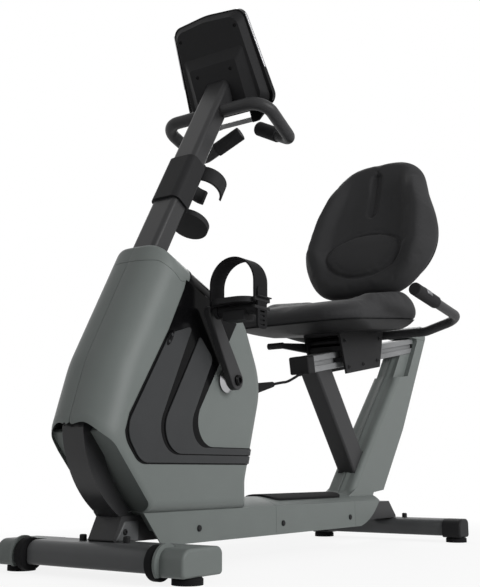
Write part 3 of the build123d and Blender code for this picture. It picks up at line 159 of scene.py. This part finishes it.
# %% Moulded covers
shell_grey = new_finish("shell_grey", from_screen(98, 103, 101), 0.44, grain=1500, bump=0.10,
                        drift=0.03, shine=0.2)
petal_grey = new_finish("petal_grey", from_screen(52, 53, 54), 0.40, grain=1500, bump=0.08,
                        drift=0.05, shine=0.1)
# This gloss black also paints shadow: the wedge high on the shroud stands for the pedal's shadow.
gloss_black_and_shadow = new_finish("gloss_black_and_shadow", from_screen(11, 11, 12), 0.16, grain=900, bump=0.02,
                        drift=0.1, worn=0.03, shine=0.06)
dress(shell_grey, "shroud_left", "shroud_right", "shroud_cap", "step_cover", "upright_cover",
      "upright_cap", "leg_cover", "front_end_caps")
dress(petal_grey, "side_panels")
dress(gloss_black_and_shadow, "side_trims", "console_bezel")
print("moulded covers in grey, petals and bands dressed")

# %% [markdown]
# Frame tubes are powder coated in charcoal. The small fittings are black plastic with a coarser
# grain, and the parts that are stood on, gripped or turned are rubber. The stands are a lighter
# grey than the other tubes, and the seat's carriage is as dark as the fittings.

# %% Frame, fittings and rubber
frame_charcoal = new_finish("frame_charcoal", from_screen(46, 46, 47), 0.44, grain=420, bump=0.12,
                            drift=0.06, shine=0.16)
mast_black = new_finish("mast_black", from_screen(38, 38, 39), 0.34, grain=420, bump=0.08,
                        drift=0.05, shine=0.25)
fitting_black = new_finish("fitting_black", from_screen(31, 31, 32), 0.56, grain=1100, bump=0.16,
                           drift=0.08, shine=0.1)
rubber_black = new_finish("rubber_black", from_screen(25, 25, 26), 0.78, grain=700, bump=0.2,
                          drift=0.12, shine=0.06)
stand_grey = new_finish("stand_grey", from_screen(72, 73, 74), 0.42, grain=420, bump=0.12,
                        drift=0.05, shine=0.2)
dress(frame_charcoal, "seat_brace", "rear_post", "drive_frame", "backrest_frame",
      "seat_handlebar", "front_handlebar", "brake_magnets", "left_crank", "right_crank",
      "base_beam")
dress(mast_black, "mast", "front_leg")
dress(stand_grey, "front_stabilizer", "rear_stabilizer")
dress(fitting_black, "rear_end_caps", "seat_carriage", "rail_front_cap", "bottle_holder",
      "console_back", "left_pedal", "right_pedal", "seat_pan", "backrest_shell", "seat_lever",
      "console_dial", "cover_bolts")
dress(rubber_black, "step_pad", "front_left_foot", "front_right_foot", "rear_left_foot",
      "rear_right_foot", "left_transport_wheel", "right_transport_wheel", "left_pedal_strap",
      "right_pedal_strap", "cable_boot", "drive_belt")
grip_black = new_finish("grip_black", from_screen(36, 36, 37), 0.72, grain=600, bump=0.25,
                        drift=0.1, shine=0.08)
dress(grip_black, "front_grips", "seat_grips")
print("frame, fittings and rubber dressed")

# %% [markdown]
# The rail is a drawn extrusion, so its noise is stretched along it: the pattern turns with the
# rail's slope. The crank's cone is polished, bearings and pulse plates are zinc and the flywheel
# is iron.

# %% Metals and glass
rail_slope = radians(10.57)
rail_silver = new_finish("rail_silver", from_screen(118, 119, 120), 0.55, metal=0.2, grain=260,
                         bump=0.12, drift=0.05, stretch=(0.02, 1, 1), turn=-rail_slope)
polished = new_finish("polished", from_screen(175, 175, 177), 0.28, metal=1.0, bump=0.01,
                      drift=0.04)
zinc = new_finish("zinc", from_screen(96, 97, 99), 0.5, metal=0.6, grain=500, bump=0.05)
iron = new_finish("iron", from_screen(88, 88, 89), 0.5, metal=0.8, grain=300, bump=0.15)
screen_glass = new_finish("screen_glass", from_screen(14, 15, 17), 0.08, coat=0.6, bump=0.0,
                          drift=0.1, worn=0.02)
dress(rail_silver, "seat_rail", "drive_pulley", "tablet_ledge")
dress(polished, "crank_axle")
dress(zinc, "crank_bearings")
dress(iron, "flywheel")
dress(screen_glass, "console_screen")
upholstery = new_finish("upholstery", from_screen(45, 45, 46), 0.66, grain=1300, bump=0.3,
                        drift=0.06, sheen=0.02, shine=0.1)
dress(upholstery, "seat_cushion", "backrest_cushion")
print("metals, glass and upholstery dressed")

# %% [markdown]
# ## The pulse lead
# A thin lead carries the pulse signal from the seat's grips to the console. It leaves a tapered
# boot on the shroud, runs back almost taut, and goes into a gland under the rail's front end.
# A NURBS curve through its few route points gives one smooth line.

# %% Pulse lead
def lead_curve(name, points, radius):
    """Round lead along one smooth line."""
    curve = bpy.data.curves.new(name, "CURVE")
    curve.dimensions = "3D"
    curve.bevel_depth = radius
    curve.bevel_resolution = 6
    curve.resolution_u = 24
    line = curve.splines.new("NURBS")
    line.points.add(len(points) - 1)
    for point, spot in zip(line.points, points):
        point.co = (*spot, 1.0)
    line.order_u = 3
    line.use_endpoint_u = True
    lead = bpy.data.objects.new(name, curve)
    scene.collection.objects.link(lead)
    return lead


boot_tip = Vector((0.164, 0.055, 0.421))
boot_root = Vector((0.254, 0.055, 0.403))
boot_way = (boot_tip - boot_root).normalized()
lead_middle = Vector((0.035, 0.022, 0.439))
gland_root = Vector((-0.066, 0.0, 0.472))
gland_tip = gland_root + (lead_middle - gland_root).normalized() * 0.014
route = [boot_tip, boot_tip + boot_way * 0.04, lead_middle, gland_tip]
lead = lead_curve("pulse_lead", route, 0.0035)
lead.data.materials.append(rubber_black)
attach(lead, "frame")
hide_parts("pulse_cable")
print("lead of", len(route), "points ends at", tuple(round(v, 3) for v in gland_tip))

# %% [markdown]
# ## The cushions
# Seat and backrest are foam pads under a tight cover. A copy of each solid is remeshed to even
# quads and blown up a little as cloth, so that its faces crown and its edges go soft. Then its
# front is shaped: bolsters at the sides, a lumbar pad and a long slot up the back.

# %% Helpers for padded pieces
def smooth_step(low, high, value):
    """0 below low, 1 above high and an S-curve between."""
    t = min(1.0, max(0.0, (value - low) / (high - low)))
    return t * t * (3 - 2 * t)


def even_copy(node, name, voxel):
    """Copy of a solid, remeshed to even quads."""
    mesh = nodes[node].data.copy()
    shape = bmesh.new()
    shape.from_mesh(mesh)
    bmesh.ops.remove_doubles(shape, verts=shape.verts, dist=1e-5)
    shape.to_mesh(mesh)
    shape.free()
    pad = bpy.data.objects.new(name, mesh)
    scene.collection.objects.link(pad)
    remesh = pad.modifiers.new("even", "REMESH")
    remesh.mode = "VOXEL"
    remesh.voxel_size = voxel
    return keep_result(pad)


def keep_result(pad):
    """Replace a piece's mesh by what its modifiers make of it."""
    bpy.context.view_layer.update()
    seen = pad.evaluated_get(bpy.context.evaluated_depsgraph_get())
    mesh = bpy.data.meshes.new_from_object(seen)
    pad.modifiers.clear()
    pad.data = mesh
    return pad


def swell(pad, cap, pressure=4.0, last=20):
    """Blow a pad up as cloth, and let no point move further than the cap."""
    before = [vert.co.copy() for vert in pad.data.vertices]
    cloth = pad.modifiers.new("swell", "CLOTH")
    cloth.settings.use_pressure = True
    cloth.settings.uniform_pressure_force = pressure
    cloth.settings.effector_weights.gravity = 0.0
    cloth.point_cache.frame_end = last
    for step in range(1, last + 1):
        scene.frame_set(step)
    keep_result(pad)
    scene.frame_set(1)
    for vert, start in zip(pad.data.vertices, before):
        way = vert.co - start
        if way.length > cap:
            vert.co = start + way.normalized() * cap


def finish_pad(pad, node, finish):
    """Smooth a shaped pad and put it on the seat in place of its solid."""
    pad.data.materials.clear()
    pad.data.materials.append(finish)
    pad.data.polygons.foreach_set("use_smooth", [True] * len(pad.data.polygons))
    round_off = pad.modifiers.new("round_off", "SUBSURF")
    round_off.levels = round_off.render_levels = 1
    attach(pad, "seat")
    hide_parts(node)


# %% [markdown]
# The backrest's own frame has its origin at the foot of the face, one axis up the pad and one
# out of it. Points near the front move out or in, by an amount that depends on where they are,
# and the lower edge is drawn down to the seat.

# %% Backrest cushion
lean = radians(21.4)
back_foot = Vector((-0.405, 0.0, 0.763))
back_up = Vector((-sin(lean), 0.0, cos(lean)))
back_out = Vector((cos(lean), 0.0, sin(lean)))
half_widths = [(0.0, 0.11), (0.014, 0.130), (0.066, 0.198), (0.150, 0.232), (0.275, 0.215),
               (0.372, 0.178), (0.444, 0.152), (0.491, 0.098), (0.505, 0.03)]


def half_width(up):
    """Half the backrest's width at a height up its face."""
    for (low, a), (high, b) in zip(half_widths, half_widths[1:]):
        if up <= high:
            return a + (b - a) * max(0.0, up - low) / (high - low)
    return half_widths[-1][1]


bolster_height, dish_depth = 0.030, 0.010
lumbar_middle, lumbar_height, groove_depth = 0.128, 0.022, 0.006
lumbar_half_width, lumbar_half_height = 0.130, 0.076
slot_middle, slot_half, slot_depth = 0.360, 0.066, 0.009
foot_reach = 0.020
backrest = even_copy("backrest_cushion", "backrest_pad", 0.005)
swell(backrest, 0.004)
for vert in backrest.data.vertices:
    spot = vert.co - back_foot
    across, up, out = abs(spot.y), spot.dot(back_up), spot.dot(back_out)
    front = smooth_step(-0.040, -0.012, out)
    share = across / half_width(up)
    along = smooth_step(0.03, 0.15, up) * (1 - smooth_step(0.34, 0.46, up))
    bolster = smooth_step(0.52, 0.74, share) * (1 - smooth_step(0.80, 1.0, share))
    dish = 1 - smooth_step(0.25, 0.62, share)
    push = along * (bolster_height * bolster - dish_depth * dish)
    ring = (across / lumbar_half_width) ** 2 + ((up - lumbar_middle) / lumbar_half_height) ** 2
    if ring < 1.0:
        push += lumbar_height * (1 - ring) ** 0.6
    push -= groove_depth * max(0.0, 1 - abs(ring - 1.04) / 0.12)
    slot_end = max(abs(up - slot_middle) - slot_half, 0.0)
    slot_far = (spot.y**2 + slot_end**2) ** 0.5
    push -= slot_depth * (1 - smooth_step(0.016, 0.021, slot_far))
    vert.co += back_out * (push * front)
    vert.co -= back_up * (foot_reach * (1 - smooth_step(0.0, 0.10, up)))
finish_pad(backrest, "backrest_cushion", upholstery)
print("backrest points", len(backrest.data.vertices))

# %% [markdown]
# The seat has a low rim along its sides and a dish for the rider in the middle.

# %% Seat cushion
tip = radians(7.13)
seat_middle = Vector((-0.220, 0.0, 0.600))
seat_front = Vector((cos(tip), 0.0, -sin(tip)))
seat_up = Vector((sin(tip), 0.0, cos(tip)))
rim_height, seat_dish_depth = 0.017, 0.010
seat = even_copy("seat_cushion", "seat_pad", 0.006)
swell(seat, 0.005)
for vert in seat.data.vertices:
    spot = vert.co - seat_middle
    ahead, across, up = spot.dot(seat_front), abs(spot.y), spot.dot(seat_up)
    top = smooth_step(0.055, 0.075, up)
    sides = smooth_step(0.10, 0.15, across) * (1 - smooth_step(0.165, 0.206, across))
    sides *= smooth_step(-0.24, -0.15, ahead) * (1 - smooth_step(0.03, 0.10, ahead))
    dish = (1 - smooth_step(0.06, 0.13, across)) * (1 - smooth_step(0.02, 0.16, abs(ahead + 0.03)))
    vert.co += seat_up * (top * (rim_height * sides - seat_dish_depth * dish))
finish_pad(seat, "seat_cushion", upholstery)
print("seat points", len(seat.data.vertices))

# %% [markdown]
# ## Bands that wrap the shroud, and a painted shadow
# On the real shroud the low gloss bands do not stop where the flat side ends: they run round the
# rear edge. Above the petals a black wedge that reaches the top edge is painted shadow, the shadow
# of the pedal and its strap on the shroud. Each piece has to lie on the curved skin, so each one
# is cut out of a copy of the shroud with planes, lifted a little and given a thickness.

# %% A helper for pieces, and one for skin patches
def make_piece(name, shape, finish, body, crease=35):
    """Piece from a bmesh, with its finish and the body that it rides on."""
    mesh = bpy.data.meshes.new(name)
    shape.to_mesh(mesh)
    shape.free()
    mesh.polygons.foreach_set("use_smooth", [True] * len(mesh.polygons))
    mesh.set_sharp_from_angle(angle=radians(crease))
    mesh.materials.append(finish)
    piece = bpy.data.objects.new(name, mesh)
    scene.collection.objects.link(piece)
    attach(piece, body)
    return piece


def skin_patch(name, node, cuts, core, lift, finish, body):
    """Raised patch of a solid's outer skin, kept behind every cutting plane."""
    shape = bmesh.new()
    shape.from_mesh(nodes[node].data)
    bmesh.ops.remove_doubles(shape, verts=shape.verts, dist=1e-5)
    for spot, way in cuts:
        geometry = shape.verts[:] + shape.edges[:] + shape.faces[:]
        bmesh.ops.bisect_plane(shape, geom=geometry, plane_co=spot, plane_no=way, clear_outer=True)
    shape.normal_update()
    inner = [f for f in shape.faces if (f.calc_center_median() - Vector(core)).dot(f.normal) < 0.0]
    bmesh.ops.delete(shape, geom=inner, context="FACES")
    shape.normal_update()
    for vert in shape.verts:
        vert.co += vert.normal * lift
    patch = make_piece(name, shape, finish, body)
    thick = patch.modifiers.new("thick", "SOLIDIFY")
    thick.thickness = lift
    thick.offset = -1.0
    return patch


# %% Painted shadow wedge and bands on both halves
drive_core = (0.42, 0.0, 0.42)
for side, hand in (("left", 1), ("right", -1)):
    # The wedge is painted shadow: a black patch where the pedal and its strap shade the shroud.
    painted_shadow_cuts = [
        ((0.5630, 0, 0.600), (0.943, 0, 0.330)),
        ((0.330, 0, 0.600), (-0.8315, 0, -0.556)),
        ((0, 0, 0.560), (0, 0, -1)),
        ((0, hand * 0.030, 0), (0, -hand, 0)),
    ]
    skin_patch(f"painted_shadow_wedge_{side}", f"shroud_{side}", painted_shadow_cuts, drive_core, 0.0009, gloss_black_and_shadow,
               "frame")
    rear = ((0.345, 0, 0), (1, 0, 0))
    for label, low, high, lift, finish, slot in (
        ("rear_band", 0.2210, 0.2590, 0.0011, gloss_black_and_shadow, "trim_black"),
        ("rear_stripe_low", 0.2240, 0.2405, 0.0036, petal_grey, "panel_dark"),
        ("rear_stripe_high", 0.2430, 0.2570, 0.0036, petal_grey, "panel_dark"),
    ):
        cuts = [rear, ((0, 0, high), (0, 0, 1)), ((0, 0, low), (0, 0, -1))]
        skin_patch(f"{label}_{side}", f"shroud_{side}", cuts, drive_core, lift, finish,
                   "frame")
print("wedge and bands on both halves")

# %% [markdown]
# ## Screws
# The seat's carriage, the console and the shroud's nose have small socket screws. One head is
# spun from a few points of its section, with the socket in it, and copied to each place. The
# place comes from the solid itself: the nearest point of its skin, and the way the skin faces.

# %% Screw heads
def screw_head(radius, height):
    """Domed head with a round socket, as a mesh."""
    shape = bmesh.new()
    section = [(0.0, 0.2), (0.42, 0.2), (0.5, 0.92), (0.72, 1.0), (1.0, 0.45), (1.0, -0.6)]
    verts = [shape.verts.new((r * radius, 0, z * height)) for r, z in section]
    edges = [shape.edges.new(pair) for pair in zip(verts, verts[1:])]
    bmesh.ops.spin(shape, geom=verts + edges, cent=(0, 0, 0), axis=(0, 0, 1), angle=2 * pi,
                   steps=18, use_merge=True)
    bmesh.ops.remove_doubles(shape, verts=shape.verts, dist=1e-6)
    bmesh.ops.recalc_face_normals(shape, faces=shape.faces)
    mesh = bpy.data.meshes.new("screw_head")
    shape.to_mesh(mesh)
    shape.free()
    return mesh


def put_copies(shape, mesh, places):
    """Add a copy of a mesh at each place, with its top facing the way given there."""
    for spot, way in places:
        count = len(shape.verts)
        shape.from_mesh(mesh)
        shape.verts.ensure_lookup_table()
        turn = Vector(way).to_track_quat("Z", "Y").to_matrix().to_4x4()
        place = Matrix.Translation(spot) @ turn
        bmesh.ops.transform(shape, matrix=place, verts=shape.verts[count:])


def on_skin(node, near):
    """Nearest point on a solid's skin, and the way that it faces there."""
    return nodes[node].closest_point_on_mesh(Vector(near))[1:3]


def screws(name, node, spots, radius, height, finish, body):
    """One piece with a screw head on the skin near each spot."""
    shape = bmesh.new()
    put_copies(shape, screw_head(radius, height), [on_skin(node, spot) for spot in spots])
    return make_piece(name, shape, finish, body)


carriage_spots = [(x, hand * 0.066, z) for hand in (1, -1) for x, z in (
    (-0.230, 0.500), (-0.206, 0.573), (-0.424, 0.604), (-0.408, 0.536), (-0.318, 0.516))]
screws("carriage_screws", "seat_carriage", carriage_spots, 0.0058, 0.0032, fitting_black,
       "seat")
console_lean = radians(27.8)
console_foot = Vector((0.270, 0.0, 1.140))
console_up = Vector((sin(console_lean), 0.0, cos(console_lean)))
console_out = Vector((-cos(console_lean), 0.0, sin(console_lean)))


def on_console(across, up, out):
    """Point on the console: across to the rider's left, up its face and out towards the rider."""
    return console_foot + Vector((0, across, 0)) + console_up * up + console_out * out


console_spots = [on_console(hand * across, up, out)
                 for across, up, out in ((0.086, 0.190, -0.022), (0.052, 0.092, -0.040))
                 for hand in (1, -1)]
screws("console_screws", "console_back", console_spots, 0.0046, 0.0016, gloss_black_and_shadow,
       "frame")
for side, hand in (("left", 1), ("right", -1)):
    screws(f"nose_screws_{side}", f"shroud_{side}", [(0.81, hand * 0.0125, 0.297)], 0.0034, 0.0012,
           fitting_black, "frame")
print("screws on carriage, console and nose")

# %% [markdown]
# ## Small fittings on the shroud and the cranks
# An oval plate with two small ports sits high on each outer petal. A dark cap closes the crank's
# bolt hole. Both are short spun or extruded forms with softened edges.

# %% Port plates
def oval_plate(shape, middle, long_way, out, length, width, depth):
    """Flat oval with a rounded rim, standing out of a side."""
    disc = bmesh.ops.create_circle(shape, cap_ends=True, segments=28, radius=0.5)
    verts = disc["verts"]
    face = verts[0].link_faces[0]
    grown = bmesh.ops.extrude_face_region(shape, geom=[face])
    top = [item for item in grown["geom"] if isinstance(item, bmesh.types.BMVert)]
    bmesh.ops.translate(shape, vec=(0, 0, 1), verts=top)
    rims = [e for e in shape.edges if e.is_valid and all(v in top for v in e.verts)]
    bmesh.ops.scale(shape, vec=(length, width, depth), verts=verts + top)
    bmesh.ops.bevel(shape, geom=rims, offset=0.3 * depth, offset_type="OFFSET", segments=2,
                    profile=0.5, affect="EDGES", material=-1)
    across = Vector(out).cross(Vector(long_way)).normalized()
    turn = Matrix((Vector(long_way).normalized(), across, Vector(out).normalized())).transposed()
    bmesh.ops.transform(shape, matrix=Matrix.Translation(middle) @ turn.to_4x4(), verts=shape.verts)
    bmesh.ops.recalc_face_normals(shape, faces=shape.faces)


port_way = (-0.50, 0.0, 0.866)
for side, hand in (("left", 1), ("right", -1)):
    shape = bmesh.new()
    oval_plate(shape, (0.612, hand * 0.0904, 0.486), port_way, (0, hand, 0), 0.040, 0.013, 0.0022)
    make_piece(f"port_plate_{side}", shape, gloss_black_and_shadow, "frame")
    ports = [(Vector((0.612, hand * 0.0926, 0.486)) + Vector(port_way) * step, (0, hand, 0))
             for step in (-0.010, 0.008)]
    shape = bmesh.new()
    put_copies(shape, screw_head(0.0032, 0.0010), ports)
    make_piece(f"ports_{side}", shape, petal_grey, "frame")
print("port plates")

# %% Crank caps
crank_spot = Vector((0.409, 0.0, 0.409))
for side, hand in (("left", 1), ("right", -1)):
    shape = bmesh.new()
    cap_spot = crank_spot + Vector((0, hand * 0.1235, 0))
    put_copies(shape, screw_head(0.0125, 0.005), [(cap_spot, (0, hand, 0))])
    make_piece(f"crank_cap_{side}", shape, gloss_black_and_shadow, "crank")
print("crank caps")

# %% [markdown]
# ## Pedal buckles
# Each strap is drawn through a buckle on the pedal's outer edge: a small frame with a lip that
# the thumb lifts. It is made of three bevelled blocks: two bars and the lip.

# %% Buckles
def soft_block(shape, low, high, bevel):
    """Block between two corners with rounded edges."""
    made = bmesh.ops.create_cube(shape, size=1.0)
    low, high = Vector(low), Vector(high)
    bmesh.ops.scale(shape, vec=high - low, verts=made["verts"])
    bmesh.ops.translate(shape, vec=(low + high) / 2, verts=made["verts"])
    edges = list({edge for vert in made["verts"] for edge in vert.link_edges})
    bmesh.ops.bevel(shape, geom=edges, offset=bevel, offset_type="OFFSET", segments=3, profile=0.5,
                    affect="EDGES", material=-1)


for side, hand, (x, y, z) in (("left", 1, (0.500341, 0.188, 0.552377)),
                              ("right", -1, (0.317659, -0.188, 0.265623))):
    shape = bmesh.new()
    for low, high, bevel in (
        ((-0.029, 0.0575, 0.011), (0.029, 0.0640, 0.020), 0.0015),
        ((-0.024, 0.0600, 0.0185), (0.024, 0.0720, 0.0215), 0.0010),
        ((-0.029, 0.0575, -0.006), (0.029, 0.0640, 0.001), 0.0015),
    ):
        near, far = sorted((y + hand * low[1], y + hand * high[1]))
        soft_block(shape, (x + low[0], near, z + low[2]), (x + high[0], far, z + high[2]), bevel)
    make_piece(f"strap_buckle_{side}", shape, fitting_black, f"{side}_pedal")
print("buckles")

# %% [markdown]
# ## Console edge and pulse plates
# A bright strip runs along both upper sides of the console, and each seat grip has a metal plate
# that reads the rider's pulse. The strip is a bevelled bar; the plate is a patch of the grip's
# own skin.

# %% Console edge
for side, hand in (("left", 1), ("right", -1)):
    shape = bmesh.new()
    soft_block(shape, (-0.5, -0.5, -0.5), (0.5, 0.5, 0.5), 0.12)
    top = on_console(hand * 0.1137, 0.212, 0.0045)
    low = on_console(hand * 0.1280, 0.072, 0.0045)
    along = (top - low).normalized()
    across = along.cross(console_out)
    turn = Matrix((along, across, console_out)).transposed().to_4x4()
    grow = Matrix.Diagonal(((top - low).length, 0.0032, 0.0050, 1.0))
    place = Matrix.Translation((top + low) / 2) @ turn @ grow
    bmesh.ops.transform(shape, matrix=place, verts=shape.verts)
    bmesh.ops.recalc_face_normals(shape, faces=shape.faces)
    make_piece(f"console_edge_{side}", shape, polished, "frame")
print("console edges")

# %% Pulse plates
plate_front, plate_length, grip_slope = -0.212, 0.034, 0.13
for side, hand in (("left", 1), ("right", -1)):
    cuts = [
        ((plate_front, 0, 0), (1, 0, 0)),
        ((plate_front - plate_length, 0, 0), (-1, 0, 0)),
        ((plate_front, 0, 0.691 + (plate_front + 0.171) * grip_slope), (0.129, 0, -0.992)),
        ((0, hand * 0.01, 0), (0, -hand, 0)),
    ]
    grip_core = (plate_front - plate_length / 2, hand * 0.300,
                 0.690 + (plate_front + 0.154) * grip_slope)
    skin_patch(f"pulse_plate_front_{side}", "seat_grips", cuts, grip_core, 0.0008, zinc,
               "seat")
print("pulse plates")

# %% [markdown]
# ## Front bracket
# Where the leg meets the front stand, a bracket wraps the end of the beam. It follows the
# beam's slanted end, so the front of a bevelled block is leaned back before it is set in place.

# %% Front bracket
shape = bmesh.new()
made = bmesh.ops.create_cube(shape, size=1.0)
bmesh.ops.scale(shape, vec=(0.070, 0.074, 0.040), verts=made["verts"])
bmesh.ops.translate(shape, vec=(0.6745, 0.0, 0.0874), verts=made["verts"])
upper = [vert for vert in made["verts"] if vert.co.z > 0.09 and vert.co.x > 0.68]
bmesh.ops.translate(shape, vec=(-0.026, 0, 0), verts=upper)
bmesh.ops.bevel(shape, geom=shape.edges[:], offset=0.004, offset_type="OFFSET", segments=3,
                profile=0.5, affect="EDGES", material=-1)
make_piece("front_bracket", shape, stand_grey, "frame")
shape = bmesh.new()
bracket_spots = [((0.682, hand * 0.0372, 0.086), (0, hand, 0)) for hand in (1, -1)]
put_copies(shape, screw_head(0.0062, 0.0030), bracket_spots)
make_piece("bracket_screws", shape, fitting_black, "frame")
print("front bracket")

# %% [markdown]
# ## The studio
# A pale floor, a white surround and three large soft lamps, the strongest on the rider's left.
# The surround is white to the camera and in reflections, and gives the bike a softer light. The
# floor keeps the bike's shadow near it and fades to the same white further out.

# %% Rays that see the white
def seen_rays(tree):
    """1 for rays from the camera, in reflections and through glass, and 0 for the rest."""
    rays = tree.nodes.new("ShaderNodeLightPath")
    seen = rays.outputs["Is Camera Ray"]
    for kind in ("Is Glossy Ray", "Is Transmission Ray"):
        either = tree.nodes.new("ShaderNodeMath")
        either.operation = "MAXIMUM"
        tree.links.new(seen, either.inputs[0])
        tree.links.new(rays.outputs[kind], either.inputs[1])
        seen = either.outputs["Value"]
    return seen


# %% Floor
shape = bmesh.new()
bmesh.ops.create_grid(shape, x_segments=1, y_segments=1, size=16.0)
floor_mesh = bpy.data.meshes.new("floor")
shape.to_mesh(floor_mesh)
shape.free()
floor = bpy.data.objects.new("floor", floor_mesh)
scene.collection.objects.link(floor)
paint = bpy.data.materials.new("floor_white")
paint.use_nodes = True
tree = paint.node_tree
shader = tree.nodes["Principled BSDF"]
shader.inputs["Base Color"].default_value = (0.86, 0.86, 0.86, 1)
shader.inputs["Roughness"].default_value = 0.9
shader.inputs["Specular IOR Level"].default_value = 0.0
place = tree.nodes.new("ShaderNodeTexCoord")
reach = tree.nodes.new("ShaderNodeMapping")
reach.inputs["Scale"].default_value = (0.55, 0.8, 1.0)
near = tree.nodes.new("ShaderNodeTexGradient")
near.gradient_type = "SPHERICAL"
fade = tree.nodes.new("ShaderNodeMapRange")
fade.inputs["From Max"].default_value = 0.45
fade.inputs["To Min"].default_value = 1.0
fade.inputs["To Max"].default_value = 0.86
strength = tree.nodes.new("ShaderNodeMath")
strength.operation = "MULTIPLY"
glow = tree.nodes.new("ShaderNodeEmission")
blend = tree.nodes.new("ShaderNodeMixShader")
tree.links.new(place.outputs["Object"], reach.inputs["Vector"])
tree.links.new(reach.outputs["Vector"], near.inputs["Vector"])
tree.links.new(near.outputs["Fac"], fade.inputs["Value"])
tree.links.new(fade.outputs["Result"], strength.inputs[0])
tree.links.new(seen_rays(tree), strength.inputs[1])
tree.links.new(strength.outputs["Value"], blend.inputs["Fac"])
tree.links.new(shader.outputs["BSDF"], blend.inputs[1])
tree.links.new(glow.outputs["Emission"], blend.inputs[2])
tree.links.new(blend.outputs["Shader"], tree.nodes["Material Output"].inputs["Surface"])
floor_mesh.materials.append(paint)
floor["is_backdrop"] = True
print("floor", floor.dimensions[:2])


# %% Lamps and surround
def soft_lamp(name, place, target, size, power):
    """Large rectangular lamp that faces a point."""
    lamp = bpy.data.lights.new(name, "AREA")
    lamp.shape = "RECTANGLE"
    lamp.size, lamp.size_y = size
    lamp.energy = power
    holder = bpy.data.objects.new(name, lamp)
    scene.collection.objects.link(holder)
    holder.location = place
    holder.rotation_euler = (Vector(target) - Vector(place)).to_track_quat("-Z", "Y").to_euler()


middle = (0.0, 0.0, 0.65)
soft_lamp("lamp_left", (0.3, 3.9, 1.9), middle, (2.4, 1.8), 150)
soft_lamp("lamp_front", (3.4, -1.6, 2.2), middle, (1.2, 2.2), 10)
soft_lamp("lamp_rear", (-2.6, -1.8, 2.9), middle, (2.0, 2.0), 40)
surround = bpy.data.worlds.new("surround")
scene.world = surround
surround.use_nodes = True
sky = surround.node_tree
white = sky.nodes["Background"]
white.inputs["Color"].default_value = (1, 1, 1, 1)
dim = sky.nodes.new("ShaderNodeBackground")
dim.inputs["Color"].default_value = (1, 1, 1, 1)
dim.inputs["Strength"].default_value = 0.28
choose = sky.nodes.new("ShaderNodeMixShader")
sky.links.new(seen_rays(sky), choose.inputs["Fac"])
sky.links.new(dim.outputs["Background"], choose.inputs[1])
sky.links.new(white.outputs["Background"], choose.inputs[2])
sky.links.new(choose.outputs["Shader"], sky.nodes["World Output"].inputs["Surface"])

# %% Write the sizes and finish
low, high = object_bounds()
print("visual box", [round(v, 3) for v in (*low, *high)])
